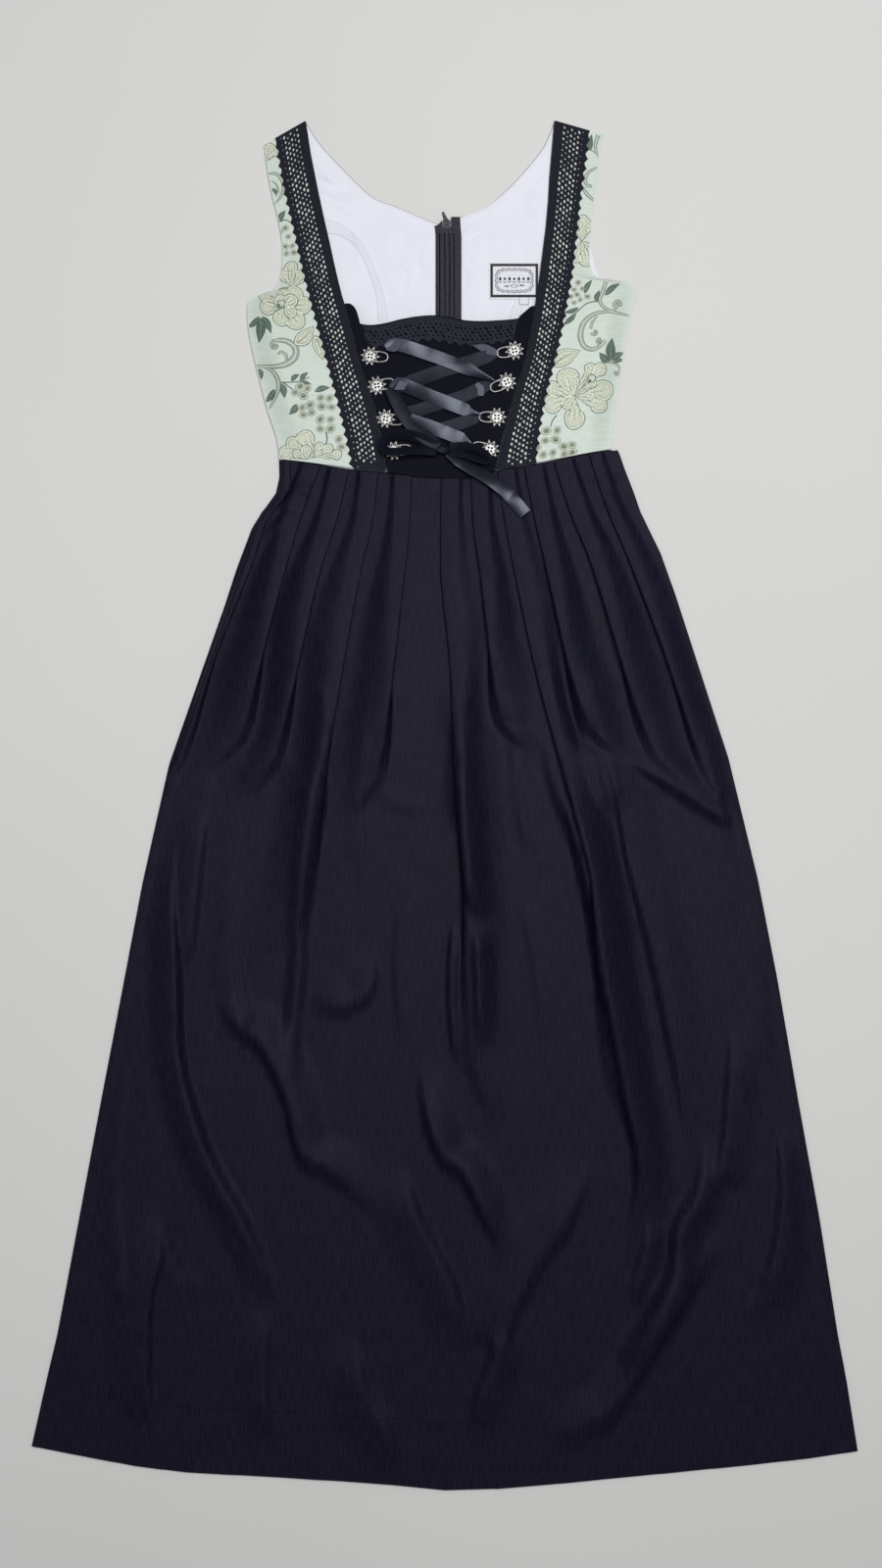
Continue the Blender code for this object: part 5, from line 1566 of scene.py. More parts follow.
def patch(name, x0, y0, x1, y1, node):
    """A small woven patch that fills a solid's box, a little thinner."""
    grid = np.stack(np.meshgrid(np.linspace(x0, x1, PATCH_COLUMNS),
                                np.linspace(y1, y0, PATCH_ROWS)), axis=-1)

    def height(x, y):
        wave = PATCH_LIFT * np.sin((x - x0) / PATCH_WAVE) ** 2
        return LINING_FLOOR + LINING_WALL + 0.3 + wave * smoothstep(np.minimum(y - y0, y1 - y) / 6)

    piece = cloth(name, lift(grid, height), LABEL_WALL, LABEL_CLOTH, "label", [node])
    return lambda x, y: height(x, y) + LABEL_WALL + 0.1


label_face = patch("woven_label", x0, y0, x1, y1, "label")
patch("size_tab", tab_x0, tab_y0, tab_x1, tab_y1 + TAB_HIDDEN, "label_tab")
print("label, wide and high:", round(x1 - x0, 1), round(y1 - y0, 1))

# %% The label's frame and ornament


def on_label(pile, loop, holes=()):
    """Lay an outline on the label's face."""
    lay_filled(pile, loop, label_face, None, holes, 3)


def oblong(gap_x, gap_y):
    """A rectangle that far inside the label, in short steps."""
    left, right, foot, top = x0 + gap_x, x1 - gap_x, y0 + gap_y, y1 - gap_y
    ring = [(left, foot), (right, foot), (right, top), (left, top)]
    return np.vstack([np.linspace(a, b, 10)[:-1] for a, b in zip(ring, ring[1:] + ring[:1])])


black, grey = Pile(), Pile()
on_label(black, oblong(1.4, 1.8), [oblong(4, 4.4)])
cx, cy = (x0 + x1) / 2, (y0 + y1) / 2
wide, high = (x1 - x0) / 2 - 6.2, (y1 - y0) / 2 - 6.4


def cartouche(grow):
    """A rounded frame with a wavy edge, round the label's middle."""
    angle = np.linspace(0, 2 * np.pi, 361)
    c, s = np.cos(angle), np.sin(angle)
    line = np.column_stack([(wide + grow) * np.sign(c) * np.abs(c) ** 0.5,
                            (high + grow) * np.sign(s) * np.abs(s) ** 0.5])
    line = even(line, 120, False)[:-1]
    wave = 0.45 * np.cos(np.arange(120) * math.pi / 3)
    return line - left_of(line) * wave[:, None] + (cx, cy)


on_label(grey, cartouche(0), [cartouche(-0.9)])
on_label(grey, cartouche(-1.7), [cartouche(-2.4)])
for k in range(-3, 4):
    x, tall = cx + 4.6 * k, 2.4 if k % 2 else 1.7
    on_label(black, move(disc(1.5, tall / 1.5, 4), x, cy + 1.6))
    on_label(grey, stroke([(x - 2, cy - 0.6), (x, cy - 2), (x + 2, cy - 0.6)], [0.4, 1, 0.4], 10))
on_label(black, move(disc(3.4, 0.5, 20), cx, cy - 5.2), [move(disc(2.6, 0.5, 20), cx, cy - 5.2)])
for way in (-1, 1):
    on_label(grey, move(leaf(6, 1.8, 0.5), cx + way * 4.6, cy - 5.2, 90 - 90 * way))
black.make("label_frame", LABEL_BLACK, "label", 0.12)
grey.make("label_ornament", LABEL_GREY, "label", 0.12)
tab_edge = Pile()
left, right, foot, top = tab_x0 + 0.8, tab_x1 - 0.8, tab_y0 + 0.8, tab_y1 + 2
ring = np.array([(left, top), (left, foot), (right, foot), (right, top)])
tube(tab_edge, lift(even(ring, 20, False), 3.35), 0.3, 5)
tab_edge.make("size_tab_edge", LABEL_GREY, "label")
print("faces of the frame:", len(black.faces), "ornament:", len(grey.faces))

# %% [markdown]
# ## The pleated skirt front
# Eleven knife pleats hang from the waist seam: five on the left face right
# and six on the right face left, so they meet in an inverted pleat.  A pleat
# is a fold of three layers at the waist, and it opens over its reach until
# only a soft wave is left.  Each row of the mesh is a section through all the
# pleats at one depth below the waist, and the rows are joined into a grid.

# %% The pleats
PLEAT_DEPTHS = (0, 50, 100, 200, 300, 400)
Pleat = namedtuple("Pleat", "faces tuck reach line")
PLEATS = [
    Pleat(+1, 5, 330, (-150.4, -172, -188, -226, -254, -276)),
    Pleat(+1, 13, 300, (-121.9, -140.2, -154.6, -179.5, -199.7, -216)),
    Pleat(+1, 14, 330, (-94.1, -105.6, -121, -143, -164.2, -181.4)),
    Pleat(+1, 14, 480, (-65.3, -71, -82.1, -99.8, -115.2, -129.6)),
    Pleat(+1, 14, 340, (-32.6, -34.6, -39.4, -49.9, -60.5, -66.2)),
    Pleat(-1, 14, 640, (-3.4, -4.1, -3.8, 5.8, 8.6, 18.2)),
    Pleat(-1, 13, 280, (25.9, 27.8, 34.6, 45.1, 56.6, 67.2)),
    Pleat(-1, 13, 660, (51.4, 58.6, 67.7, 88.3, 114.2, 140.2)),
    Pleat(-1, 14, 290, (77.8, 87.4, 98.4, 120, 148.8, 178.6)),
    Pleat(-1, 14, 320, (106.6, 122.4, 142.1, 171.8, 202.6, 230.4)),
    Pleat(-1, 8, 350, (141.1, 157.4, 178.6, 216, 247.7, 272.6)),
]
print("pleats:", len(PLEATS))

# %% How the pleats open, and where they run
# How a pleat opens over its reach: turn in degrees, tuck, radius.
OPEN_SHARE = (0.0, 0.12, 0.28, 0.45, 0.62, 0.78, 0.9, 1.0)
OPEN_TURN = (180, 178, 168, 142, 100, 56, 24, 4)
OPEN_TUCK = (1.0, 0.95, 0.8, 0.62, 0.52, 0.5, 0.5, 0.4)
OPEN_RADIUS = (0.68, 0.72, 0.9, 1.3, 1.9, 3.4, 8.0, 30.0)
PLEAT_RUN = 4                    # least way in which a panel rises over its fold
PLEAT_CLEAR = 0.4                # between a panel's rise and its fold
RISE_MOST, RISE_DEPTH = 40, 260  # the rise grows down to this depth
SLOPE_SPAN = 9                   # a pleat's slope is read this far up and down
FOLD_STEPS = 6                   # points round each turn of a fold
RISE_STEPS = 9                   # points of the rise towards a fold
SKIRT_WALL = 1
SKIRT_FLOOR = 2  # middle of the lowest layer

SKIRT_LEFT, SKIRT_RIGHT = sides("skirt_back")
SKIRT_TOP = 338.4
SKIRT_FOOT = -626.4
WAIST = 162.2  # half the waist seam


def skirt_edge(side, y):
    """x of the skirt's side seam at height y."""
    line = (SKIRT_LEFT if side == "left" else SKIRT_RIGHT)[::-1]
    return float(np.interp(y, line[:, 1], line[:, 0]))


def pleat_x(pleat, depth):
    """x of a pleat's edge; lower down it fans out with the side seam."""
    last = PLEAT_DEPTHS[-1]
    x = float(smooth(depth, PLEAT_DEPTHS, pleat.line))
    if depth <= last:
        return x
    side = "left" if x < 0 else "right"
    return x * (skirt_edge(side, SKIRT_TOP - depth) / skirt_edge(side, SKIRT_TOP - last))


# %% One fold, and half a section through them


def pleat_fold(pleat, depth):
    """One fold as offsets in x and z from its crisp edge, facing +X, with
    the height that it steps down and how far it reaches back."""
    share = min(depth / pleat.reach, 1)
    turn = math.radians(np.interp(share, OPEN_SHARE, OPEN_TURN))
    slope = (pleat_x(pleat, depth + SLOPE_SPAN) - pleat_x(pleat, max(depth - SLOPE_SPAN, 0)))
    radius = (np.interp(share, OPEN_SHARE, OPEN_RADIUS) * math.hypot(1, slope / (2 * SLOPE_SPAN)))
    tuck = pleat.tuck * np.interp(share, OPEN_SHARE, OPEN_TUCK)
    drop = 2 * radius * (1 - math.cos(turn)) + tuck * math.sin(turn)
    steps = np.linspace(0, turn, FOLD_STEPS + 1)
    first = np.column_stack([radius * (np.sin(steps) - 1), drop - radius * (1 - np.cos(steps))])
    end = first[-1] + (tuck * math.cos(turn), -tuck * math.sin(turn))
    middle = end + (radius * math.sin(turn), radius * math.cos(turn))
    steps = steps[::-1]
    second = np.column_stack([middle[0] - radius * np.sin(steps),
                              middle[1] - radius * np.cos(steps)])
    points = np.vstack([first, second])
    return points, drop, -points[:, 0].min()


def half_section(edge, pleats, depth):
    """Half a section, from its side seam inwards; every pleat faces +X."""
    points = [(edge, 0)]
    start = edge
    for pleat in pleats:
        fold, drop, reach = pleat_fold(pleat, depth)
        x = max(pleat_x(pleat, depth) * pleat.faces, start + reach + PLEAT_RUN)
        run_end = x - reach - PLEAT_CLEAR
        run = min(6 + RISE_MOST * float(smoothstep(depth / RISE_DEPTH)),
                  run_end - start - 2 * PLEAT_CLEAR)
        rise = np.linspace(0, 1, RISE_STEPS + 1)
        flat = np.linspace(start, run_end - run, 4)[1:-1]
        points += [(fx, 0) for fx in flat]
        points += [(run_end - run + s * run, drop * float(smoothstep(s))) for s in rise]
        points += [(x + fx, fz) for fx, fz in fold]
        start = x + fold[-1][0]
    return points


# %% [markdown]
# Below the pleats the cloth lies in long soft folds.  Each fold is a wall:
# the cloth bulges on one side and drops steeply to the other.  A wall runs
# through a few points from its top down, and toward says on which side the
# high ground is: +1 on the right, -1 on the left, 0 for a narrow ridge.

# %% Folds of the skirt
Fold = namedtuple("Fold", "toward height steep gentle points")
FOLDS = [
    # the long folds that run on from the pleats
    Fold(0, 5.5, 6, 13, [(-112, 108), (-124, 50), (-134, -12), (-141, -85), (-144, -165),
                         (-150, -228), (-148, -282)]),
    Fold(-1, 9.3, 8, 29, [(-260, -10), (-264, -86), (-259, -170), (-257, -237), (-244, -296),
                          (-224, -350), (-197, -398), (-170, -458), (-162, -478)]),
    Fold(-1, 4.6, 5.6, 34, [(-231, -2), (-240, -86), (-247, -160)]),
    Fold(1, 11.3, 6.3, 40, [(-226, -190), (-205, -219), (-181, -237), (-157, -288), (-142, -343),
                            (-108, -364), (-60, -406)]),
    Fold(1, 4.8, 5.6, 39, [(-137, -196), (-99, -201), (-71, -184), (-66, -140)]),
    Fold(1, 9.5, 5.2, 26, [(4, 130), (8, 60), (14, -20), (20, -84), (36, -112)]),
    Fold(1, 6.7, 4.8, 21, [(27, -120), (29, -160), (31, -234)]),
    Fold(1, 5.4, 4.8, 18, [(6, -110), (3, -186), (9, -254)]),
    Fold(1, 11.3, 7.5, 34,
         [(-27, -250), (-20, -304), (-4, -346), (16, -362), (38, -406), (64, -444)]),
    Fold(-1, 5.9, 8, 44, [(-41, -352), (-22, -404), (10, -468), (26, -530)]),
    Fold(1, 13.3, 8.1, 36, [(86, 110), (102, 24), (121, -24), (137, -88), (150, -168), (160, -214),
                            (174, -290), (186, -344), (183, -392), (169, -454)]),
    Fold(1, 5.9, 7.2, 44,
         [(128, 160), (150, 62), (165, 10), (178, -60), (200, -146), (224, -262), (241, -344)]),
    Fold(1, 6.7, 7.2, 44, [(168, 48), (214, 20), (268, -14), (284, -10)]),
    Fold(1, 4.6, 6.4, 39, [(120, 130), (140, 40), (156, -10)]),
    # the folds above the hem
    Fold(-1, 5.9, 9.6, 57, [(148, -350), (125, -404), (90, -459), (66, -508), (58, -540)]),
    Fold(1, 7.4, 7.2, 34, [(43, -512), (45, -535), (32, -570), (21, -612)]),
    Fold(1, 10.7, 9, 29,
         [(252, -318), (245, -371), (224, -411), (217, -459), (183, -522), (166, -538)]),
    Fold(1, 5.4, 6.4, 23, [(198, -404), (188, -446), (176, -486)]),
    Fold(-1, 9.3, 6.9, 34,
         [(280, -420), (237, -480), (204, -535), (169, -590), (141, -611), (90, -630)]),
    Fold(1, 5.9, 6.4, 39, [(324, -312), (327, -371), (317, -446), (293, -502)]),
    Fold(1, 5.4, 6.4, 34, [(279, -210), (270, -330), (262, -366)]),
    Fold(-1, 6.4, 7.2, 44, [(-279, -396), (-276, -446), (-286, -480), (-288, -563), (-283, -612)]),
    Fold(-1, 4.1, 9, 34, [(-170, -490), (-173, -563), (-166, -618)]),
    Fold(-1, 5.9, 7.2, 44, [(-88, -520), (-74, -570), (-53, -607), (-40, -645)]),
    Fold(1, 1.5, 6, 14, [(-274, -472), (-256, -473), (-238, -471)]),
    Fold(-1, 2, 8, 24, [(-318, -372), (-314, -440), (-310, -490)]),
    # wrinkles pulled out from the two ends of the waist seam
    Fold(1, 4.5, 4, 16, [(-180, 276), (-150, 296), (-122, 310)]),
    Fold(1, 2.4, 5, 12, [(-184, 250), (-160, 274), (-140, 288)]),
    Fold(1, 2.4, 5, 10, [(148, 318), (160, 312), (172, 320)]),
    Fold(-1, 2.4, 5, 10, [(150, 312), (166, 300), (180, 280)]),
    # finer ones between the pleats
    Fold(-1, 1.7, 6, 16, [(-118, 130), (-112, 80), (-116, 20)]),
    Fold(1, 1.8, 6, 14, [(-196, 20), (-168, 40), (-146, 36)]),
    Fold(-1, 1.5, 6, 14, [(-62, 20), (-40, 8), (-20, 4)]),
    Fold(-1, 1.7, 7, 18, [(-70, 120), (-78, 10), (-76, -90)]),
    Fold(1, 2, 7, 20, [(60, 120), (66, 20), (78, -50)]),
    Fold(1, 1.5, 8, 20, [(70, -90), (84, -150), (92, -230)]),
    Fold(-1, 1.8, 8, 22, [(-196, -60), (-206, -150), (-196, -230)]),
    Fold(1, 1.7, 8, 22, [(-40, -60), (-50, -150), (-44, -240)]),
    Fold(1, 1.7, 8, 22, [(246, 90), (262, 20), (276, -60)]),
    Fold(-1, 1.5, 9, 26, [(310, -90), (318, -180), (322, -260)]),
    Fold(-1, 1.5, 9, 26, [(-306, -240), (-316, -320), (-322, -400)]),
]
print("folds and wrinkles of the skirt:", len(FOLDS))

# %% The height that a fold adds
LINE_STEPS = 28
FOLD_FADE = 0.3  # share of a fold in which it fades at each end


def fold_height(fold, x, y):
    """Height that one fold adds at the points x, y."""
    gap, left, share = beside_line(soft_line(fold.points, LINE_STEPS), x, y)
    ends = (smoothstep(share / FOLD_FADE) * smoothstep((1 - share) / FOLD_FADE))
    if fold.toward == 0:
        return fold.height * ends * (1 - smoothstep(gap / fold.gentle))
    high = gap * np.sign(left) * fold.toward - fold.steep / 2
    wall = 1 - smoothstep(np.where(high > 0, high / fold.gentle, -high / fold.steep))
    return fold.height * ends * wall


# %% [markdown]
# The grid is made row by row.  A row starts as a section through the pleats,
# and the folds are added to it.  Its ends follow the side seams, the top row
# the waist seam and the last row the hem.  Far below the waist the points of
# a row move apart evenly, so that the folds find enough of them everywhere.

# %% Rows from the waist to the hem
FULLNESS_Y = (-670, -520, -300, -60, 120, 250, 350)
FULLNESS = (1, 1.5, 1.8, 1.6, 1, 0.4, 0)
FULLNESS_RUN = 46
FOLDS_RUN = 30  # the folds end this far inside the side seams
EVEN_FROM, EVEN_RUN = 250, 340
SKIRT_ROWS = 164
ROWS_CLOSER = 0.45  # of the rows' spacing grows from waist to hem

loop = outline("skirt_back")
top_left, foot_left, foot_right, top_right = corners(loop)
WAIST_EDGE, HEM_EDGE = (line[np.argsort(line[:, 0])] for line in (
    walk(loop, top_right, top_left), walk(loop, foot_left, foot_right)))


def even_out(row, share):
    """Points of a section moved along it, towards equal spacing."""
    walked = lengths(row)
    at = walked * (1 - share) + np.linspace(0, walked[-1], len(row)) * share
    return read_line(row, walked, at)


def skirt_grid():
    """Rows of points through the skirt front's middle, waist to hem."""
    total = SKIRT_TOP - SKIRT_FOOT
    share = np.linspace(0, 1, SKIRT_ROWS + 1)
    depths = total * ((1 - ROWS_CLOSER) * share + ROWS_CLOSER * share ** 2)
    left_half = [p for p in PLEATS if p.faces > 0]
    right_half = [p for p in reversed(PLEATS) if p.faces < 0]
    rows = []
    for depth in depths:
        level = SKIRT_TOP - depth
        left, right = skirt_edge("left", level), skirt_edge("right", level)
        a = half_section(left, left_half, depth)
        b = half_section(-right, right_half, depth)
        b = [(-x, z) for x, z in reversed(b)]
        gap = [(x, 0) for x in np.linspace(a[-1][0], b[0][0], 8)[1:-1]]
        row = even_out(np.array(a + gap + b), float(smoothstep((depth - EVEN_FROM) / EVEN_RUN)))
        x, z = row[:, 0], row[:, 1]
        wide = max(-left, right)
        part = depth / total
        waist = np.interp(x * WAIST / wide, *WAIST_EDGE.T)
        hem = np.interp(x * HEM_EDGE[-1, 0] / wide, *HEM_EDGE.T)
        y = (level + (waist - SKIRT_TOP) * (1 - part) ** 3 + (hem - SKIRT_FOOT) * part ** 3)
        inside = np.minimum(x - left, right - x)
        z = (z + SKIRT_FLOOR
             + np.interp(y, FULLNESS_Y, FULLNESS) * smoothstep(inside / FULLNESS_RUN)
             + sum(fold_height(fold, x, y) for fold in FOLDS) * smoothstep(inside / FOLDS_RUN))
        rows.append(np.column_stack([x, y, z]))
    return np.array(rows)


# %% The skirt front and back as sheets
SKIRT_CUT = (1.05, 1.02)  # the front panel with its pleats let out
SKIRT_BACK_CUT = (0.808, 0.975)
SKIRT_BACK_WALL = 1.2
grid = skirt_grid()
print("skirt front grid:", grid.shape, "z:", grid[..., 2].min().round(2),
      grid[..., 2].max().round(2))
skirt_front = cloth("skirt_front_pleated", grid, SKIRT_WALL, COTTON,
                    "cotton", ["skirt_front"], offset=0)
left, right = (even(line, 60, False) for line in (SKIRT_LEFT, SKIRT_RIGHT))
skirt_back = cloth("skirt_back_panel", lift(between(left, right, 40), 0),
                   SKIRT_BACK_WALL, COTTON, "cotton", ["skirt_back"])
lay_cloth(skirt_front, SKIRT_CUT, grow=1.02, most=0.95, digits=3)
lay_cloth(skirt_back, SKIRT_BACK_CUT, digits=3)

# %% Stitched hem
HEM_ROW = -8  # counted from the grid's last row
hem_rows = Pile()
line = grid[HEM_ROW][3:-3]
stitches(hem_rows, line + (0, 0, SKIRT_WALL / 2 + 0.05), 3.4, 0.7, 0.28)
hem_rows.make("hem_stitches", THREAD_BLACK_AND_GROOVE_SHADE, "cotton")
print("hem stitches, height over the hem:",
      round(float(line[:, 1].mean() - grid[-1][:, 1].mean()), 1))

# %% [markdown]
# ## Silver hooks
# Four openwork flower hooks are sewn to each band.  Each one is a pierced
# rosette of pointed petals with a bent wire arm that catches the ribbon.

# %% One hook, drawn flat and set at its place
HOOKS = [("left_1", -72.6, 438.2, -6), ("left_2", -66.2, 409.4, 10), ("left_3", -57.6, 377.5, -8),
         ("left_4", -49.6, 346.6, 4), ("right_1", 67.6, 443.6, 192), ("right_2", 60.2, 413, 205),
         ("right_3", 50.6, 379, 180), ("right_4", 43.9, 347.8, 168)]
FIRST_LEVEL = 2.6  # the hooks stand this far over the front
PETALS, PETAL_TIP, PETAL_ROOT = 10, 9.8, 5
PETAL_HOLE_AT, SEWN_AT = 4.2, 2.25               # rings of holes, from the middle
THREAD_ARC = ((1.2, 0.9), (2.1, 1.3), (3, 0.6))  # outwards, and up
# The wire arm, with the rosette's middle at (0, 0).
ARM = [(2, 4.3), (6.5, 4.9), (12, 4.6), (15.8, 3.2), (17.2, 0), (15.8, -3.2), (12, -4.6),
       (6.5, -4.9), (2, -4.3)]


def round_places(count, radius, start=0):
    """Places on a ring round (0, 0), each with its direction."""
    for turn in (start + 360 * k / count for k in range(count)):
        angle = math.radians(turn)
        yield radius * math.cos(angle), radius * math.sin(angle), turn


def rosette():
    """The flower's flat points and triangles, its rim and their heights."""
    angle = np.arange(0, 2 * PETALS * 4) * math.pi / (PETALS * 4)
    point = 1 - np.abs((angle * PETALS / math.pi) % 2 - 1)
    radius = PETAL_TIP - (PETAL_TIP - PETAL_ROOT) * point ** 0.85
    rim = np.column_stack([radius * np.cos(angle), radius * np.sin(angle)])
    holes = [move(leaf(3.4, 1.15, 0, 5), *at) for at in round_places(PETALS, PETAL_HOLE_AT)]
    holes += [move(disc(1.15, 1, 10), hx, hy) for hx, hy, _ in round_places(4, SEWN_AT, 45)]
    points, triangles = fill_flat(rim, None, holes, 1.3)
    far = np.hypot(*points.T)
    z = 0.35 + 0.5 * np.cos(np.minimum(far / PETAL_TIP, 1) * math.pi / 2)
    z += 0.28 * np.cos(np.arctan2(points[:, 1], points[:, 0]) * PETALS) * (
        smoothstep((far - 3) / 3))
    return points, triangles, z, np.vstack([rim, rim[:1]]) * 0.96


ROSETTE, ROSETTE_FACES, ROSETTE_Z, ROSETTE_RIM = rosette()


def hook(name, x, y, turn):
    """One pierced hook with its wire arm and its sewing threads."""
    petals, wire, threads = Pile(), Pile(), Pile()
    base = float(front_z(x, y, FIRST_LEVEL))
    petals.add(lift(move(ROSETTE, x, y, turn), base + ROSETTE_Z), ROSETTE_FACES)
    arm = even(np.array(ARM), 30)
    lean = 0.9 * smoothstep((arm[:, 0] - 7) / 8)
    tube(wire, lift(move(arm, x, y, turn), base + 0.9 + lean), 0.7, 8)
    tube(wire, lift(move(ROSETTE_RIM, x, y, turn), base + 1), 0.3, 5)
    for dx, dy, _ in round_places(4, 1, 45 + turn):
        tube(threads, [(x + dx * out, y + dy * out, base + up) for out, up in THREAD_ARC], 0.32, 5)
    petals.make("hook_" + name + "_rosette", SILVER, "silver", 0.6, stands_for=["hook_" + name])
    wire.make("hook_" + name + "_wire", SILVER, "silver")
    threads.make("hook_" + name + "_thread", THREAD_DARK, "cotton")


for entry in HOOKS:
    hook(*entry)
print("hooks:", len(HOOKS), "petals each:", PETALS)

# %% [markdown]
# ## Lacing ribbon
# Six crossing lengths and one long run zigzag between the hooks.  Each one
# passes through the wire arms at its ends, where it is narrow, and lies
# broad between them.  Where it turns at a hook it is folded over, and the
# fold shows as a short light patch.

# %% A ribbon as a grid of points
LEVEL = 1.3  # from one layer of ribbon to the next
RIBBON_WALL = 0.7
RIBBON_WIDTH = 0.0115  # metres, of the flat ribbon
RIBBON_COLUMNS = 11
RIPPLES = (3, 5, 8)  # half waves along a ribbon


def along_table(table, t):
    """Read a table of (place, value) pairs at the places t."""
    return smooth(t, *zip(*table))


def ribbon_grid(line, width, base, widths, tilt, cup, steps, seed):
    """Points of a ribbon: rows along it, columns across.  widths, tilt in
    degrees and cup in mm are tables along the ribbon from 0 to 1."""
    random.seed(seed)
    line = even(np.asarray(line, float), steps)
    normal = normals(line)
    t = np.linspace(0, 1, len(line))
    half = width / 2 * along_table(widths, t)
    lean = np.tan(np.radians(along_table(tilt, t)))
    bulge = along_table(cup, t)
    waves = [(k, random.uniform(0.05, 0.12), random.uniform(0, 6)) for k in RIPPLES]
    ripple = sum(size * np.sin(math.pi * k * t + phase) for k, size, phase in waves)
    columns = []
    for u in np.linspace(-1, 1, RIBBON_COLUMNS):
        column = lift(line + normal * (half * u)[:, None], base)
        column[:, 2] += (half * (lean * u + np.abs(lean)) + bulge * (1 - u * u) + ripple * (1 + u))
        columns.append(column)
    return np.stack(columns, axis=1)


def on_level(level):
    """Height function of the ribbon's underside at a level."""
    return front_over(FIRST_LEVEL + LEVEL * level)


def run_of(line):
    """Length of a ribbon in mm, along the points of its middle line."""
    return float(lengths(np.array(line))[-1])


def ribbon_sheet(piece, line):
    """Work out the area of a length of ribbon, at most that of the flat ribbon; nothing uses it.
    """
    run = run_of(line)
    area = min(area_of(piece) / 2, 0.98 * RIBBON_WIDTH * run * MM)


# %% The crossing lengths, from hook to hook
Stretch = namedtuple("Stretch", "name level width line widths tilt cup")
SHADED_LENGTHS = ("cross_2", "cross_4", "cross_6", "long")  # painted shade: these lengths take the darker satin
RIBBON_STEPS = 64
STRETCHES = [
    Stretch("cross_1", 1.9, 12.4,
            [(-58, 446.5), (-50, 449.5), (-13.4, 438.6), (20.2, 425.8), (48, 413.6)],
            [(0, 0.6), (0.15, 1), (0.72, 1), (0.86, 0.55), (1, 0.14)],
            [(0, 8), (0.2, 9), (0.38, 0), (0.62, 0), (0.8, 11), (1, 22)],
            [(0, 0.5), (0.3, 0.2), (0.7, 0.2), (1, 0.4)]),
    Stretch("cross_2", 0, 13,
            [(52, 441.5), (43.6, 438.4), (25, 432.4), (-3.8, 423.4), (-44.6, 408.6), (-54, 407)],
            [(0, 0.45), (0.12, 0.95), (0.9, 1), (1, 0.5)],
            [(0, 1), (0.16, -8), (0.3, -4), (0.5, -4), (0.7, -13), (1, -8)], [(0, 0.2), (1, 0.3)]),
    Stretch("cross_3", 1.9, 12.4,
            [(-53, 407), (-45, 410.4), (-13.4, 398.4), (15.4, 387.4), (26, 383.2), (34, 381)],
            [(0, 0.5), (0.12, 1), (0.84, 1), (0.9, 0.5), (1, 0.16)],
            [(0, 13), (0.3, 13), (0.55, 10), (0.7, 3), (0.88, 0), (1, 18)],
            [(0, 0.5), (0.6, 0.2), (1, 0.2)]),
    Stretch("cross_4", 0, 12, [(46, 409.5), (38.4, 408.4), (15.4, 398.4), (-13.4, 389.3),
                               (-38, 381.8), (-48, 379.5)],
            [(0, 0.55), (0.1, 1), (0.9, 1), (1, 0.5)], [(0, 0), (0.3, -2), (0.6, -9), (1, -10)],
            [(0, 0.2), (1, 0.3)]),
    Stretch("cross_5", 1.9, 12.4,
            [(-34, 376), (-8.6, 367.2), (13.4, 358.6), (20, 356), (27, 351.5)],
            [(0, 0.9), (0.3, 1), (0.8, 1), (0.88, 0.5), (1, 0.12)],
            [(0, 13), (0.35, 8), (0.55, 0), (0.82, 0), (1, 20)], [(0, 0.5), (0.5, 0.2), (1, 0.3)]),
    Stretch("cross_6", 0, 12,
            [(36, 380.5), (29.6, 377.6), (9.7, 371.4), (-8.6, 366), (-26, 361.8)],
            [(0, 0.4), (0.15, 0.9), (0.9, 1), (1, 0.8)], [(0, -3), (1, -4)], [(0, 0.2), (1, 0.3)]),
    Stretch("long", 2.6, 13, [(-56, 405.5), (-49.6, 397.4), (-40.6, 381.6), (-29.4, 367.2),
                              (-14.4, 355.8), (-5, 350.5)],
            [(0, 0.5), (0.15, 0.9), (0.85, 1), (1, 0.6)], [(0, -9), (0.5, -13), (1, -10)],
            [(0, 0.6), (1, 0.6)]),
]
FOLDED_ENDS = {
    "cross_1": [(-57.4, 442.8), (-51, 448.6), (-44.8, 453.5), (-39, 451.4), (-42.6, 446.6),
                (-48.2, 441.2)],
    "cross_2": [(26.4, 448.4), (38.5, 449.4), (49.6, 444.6), (53, 440.2), (48.5, 438.4),
                (38, 441.4)],
    "cross_3": [(-49.3, 404.4), (-46.4, 409.4), (-43.1, 413.6), (-36, 411.5), (-38.6, 407.2),
                (-40, 404.4)],
    "cross_4": [(32.6, 412.4), (37.7, 407.9), (38.1, 400.3), (32.6, 399.3), (31.6, 406),
                (29.4, 410.4)],
}
print("ribbon lengths:", len(STRETCHES), "folded ends:", len(FOLDED_ENDS))

# %% The lengths as sheets of satin
FOLD_WALL = 0.45
for number, item in enumerate(STRETCHES):
    grid = ribbon_grid(item.line, item.width, on_level(item.level), item.widths, item.tilt,
                       item.cup, RIBBON_STEPS, number)
    piece = cloth("ribbon_" + item.name + "_satin", grid, RIBBON_WALL,
                  SATIN_PAINTED_SHADE if item.name in SHADED_LENGTHS else SATIN, "satin", ["ribbon_" + item.name])
    parts = []
    if item.name in FOLDED_ENDS:
        corner = np.array(FOLDED_ENDS[item.name], float)
        loop = even(np.vstack([corner, corner[:1]]), 36)[:-1]
        top = on_level(item.level + (2.3 if item.level else 1))
        parts = [filled_sheet("ribbon_" + item.name + "_fold", loop, top,
                              FOLD_WALL, SATIN_FOLD, "satin", (), 1.8)]
    ribbon_sheet(piece, item.line)
    print(piece.name, "length in mm:", round(run_of(item.line)))

# %% [markdown]
# The two ends are tied in a small bow.  Its loops stand half on edge, so one
# looks into them, and a free tail falls over the pleats.

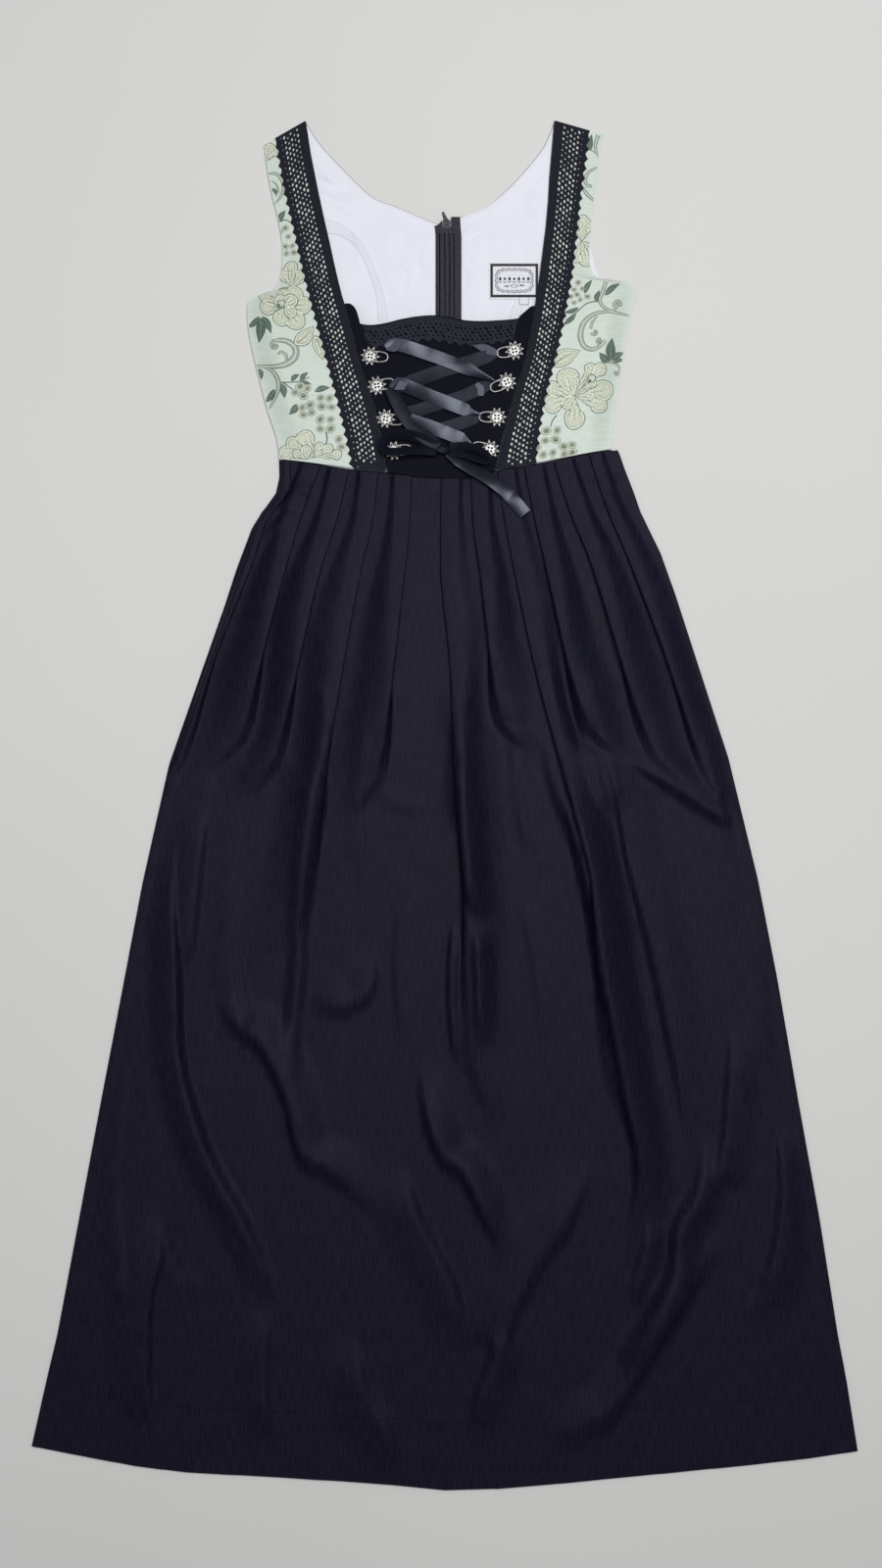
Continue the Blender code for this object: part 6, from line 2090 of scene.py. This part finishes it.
# %% The two loops of the bow
Loop = namedtuple("Loop", "level line width lean")
LOOPS = {
    "left": Loop(2.2, [(-8, 349), (-22, 356.5), (-38, 361), (-53, 359.5), (-60, 352), (-56, 345),
                       (-40, 345.5), (-24, 346.5), (-8, 346.5)], 12, 45),
    "right": Loop(1.2, [(4, 349), (16, 350.5), (30, 348), (41, 341.5), (43, 335.5), (34, 336.5),
                        (20, 341.5), (4, 346)], 9, 42),
}
LOOP_WALL = 0.6


def bow_loop(loop):
    """A loop of ribbon that leans outwards, so its inside shows."""
    line = even(np.array(loop.line, float), 90)
    out = normals(line)
    out *= np.sign(np.sum(out * (line - line.mean(axis=0)), axis=1))[:, None]
    calm = np.sin(math.pi * np.linspace(0, 1, len(line))) ** 0.35
    angle = np.radians(loop.lean) * calm
    base = on_level(loop.level)(line[:, 0], line[:, 1])
    columns = []
    for u in np.linspace(-0.5, 0.5, RIBBON_COLUMNS):
        flat = line + out * (u * loop.width * np.cos(angle))[:, None]
        z = (base + (u + 0.5) * loop.width * np.sin(angle) + 0.6 * (1 - 4 * u * u))
        columns.append(lift(flat, z))
    return np.stack(columns, axis=1)


# The loops take the darker satin as painted shade.
for side, loop in LOOPS.items():
    piece = cloth("bow_loop_" + side + "_satin", bow_loop(loop), LOOP_WALL,
                  SATIN_PAINTED_SHADE, "satin", ["ribbon_loop_" + side])
    ribbon_sheet(piece, loop.line)
    print(piece.name, "length in mm:", round(run_of(loop.line)))

# %% The free tail
TAIL = [(2, 343), (14, 335.5), (25, 328.8), (41.3, 319.4), (56.6, 308.6),
        (68.6, 296.6), (78.4, 284.8)]
TAIL_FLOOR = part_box("ribbon_tail")[0][2] / MM
TAIL_STEPS, TAIL_SEED = 90, 5


def tail_z(x, y):
    """The tail lies on the skirt's folds below the waist."""
    over_skirt = smoothstep((334 - y) / 14)
    return (on_level(1)(x, y) * (1 - over_skirt) + over_skirt * (TAIL_FLOOR + 1))


grid = ribbon_grid(TAIL, 12, tail_z, [(0, 0.5), (0.15, 0.95), (1, 1)],
                   [(0, -24), (0.4, -22), (0.62, -12), (0.8, 2), (1, 4)],
                   [(0, 0.9), (0.5, 0.5), (1, 0.5)], TAIL_STEPS, TAIL_SEED)
tail = cloth("bow_tail_satin", grid, RIBBON_WALL, SATIN, "satin", ["ribbon_tail"])
ribbon_sheet(tail, TAIL)
print(tail.name, "length in mm:", round(run_of(TAIL)))

# %% The knot that holds them
KNOT_X, KNOT_Y, KNOT_TURN = -3, 347.4, -8
KNOT_LONG, KNOT_WIDE, KNOT_TALL = 15, 9, 5.4
KNOT_PLEATS, KNOT_PLEAT = 5, 0.09  # how many, and how deep as a share
KNOT_ROUND, KNOT_RINGS = 28, 14


def knot_points():
    """An egg that lies on the front, pleated as the ribbon is pulled in."""
    v, u = np.meshgrid(np.arange(KNOT_RINGS + 1) * math.pi / KNOT_RINGS,
                       np.arange(KNOT_ROUND) * 2 * math.pi / KNOT_ROUND,
                       indexing="ij")
    v, u = v.ravel(), u.ravel()
    pleat = 1 + KNOT_PLEAT * np.cos(KNOT_PLEATS * u + 2 * np.cos(v))
    flat = np.column_stack([
        -np.cos(v) * KNOT_LONG / 2,
        np.sin(v) * np.cos(u) * KNOT_WIDE / 2 * pleat])
    z = (float(front_z(KNOT_X, KNOT_Y, FIRST_LEVEL)) + KNOT_TALL / 2 + 1
         + np.sin(v) * np.sin(u) * KNOT_TALL / 2 * pleat)
    return lift(move(flat, KNOT_X, KNOT_Y, KNOT_TURN), z)


knot, faces = Pile(), []
for a in range(0, KNOT_RINGS * KNOT_ROUND, KNOT_ROUND):
    for k in range(KNOT_ROUND):
        n = (k + 1) % KNOT_ROUND
        faces.append((a + k, a + n, a + KNOT_ROUND + n, a + KNOT_ROUND + k))
knot.add(knot_points(), faces)
# The knot takes the darker satin as painted shade.
knot.make("bow_knot_satin", SATIN_PAINTED_SHADE, "satin", stands_for=["ribbon_knot"])
print("knot faces:", len(faces))
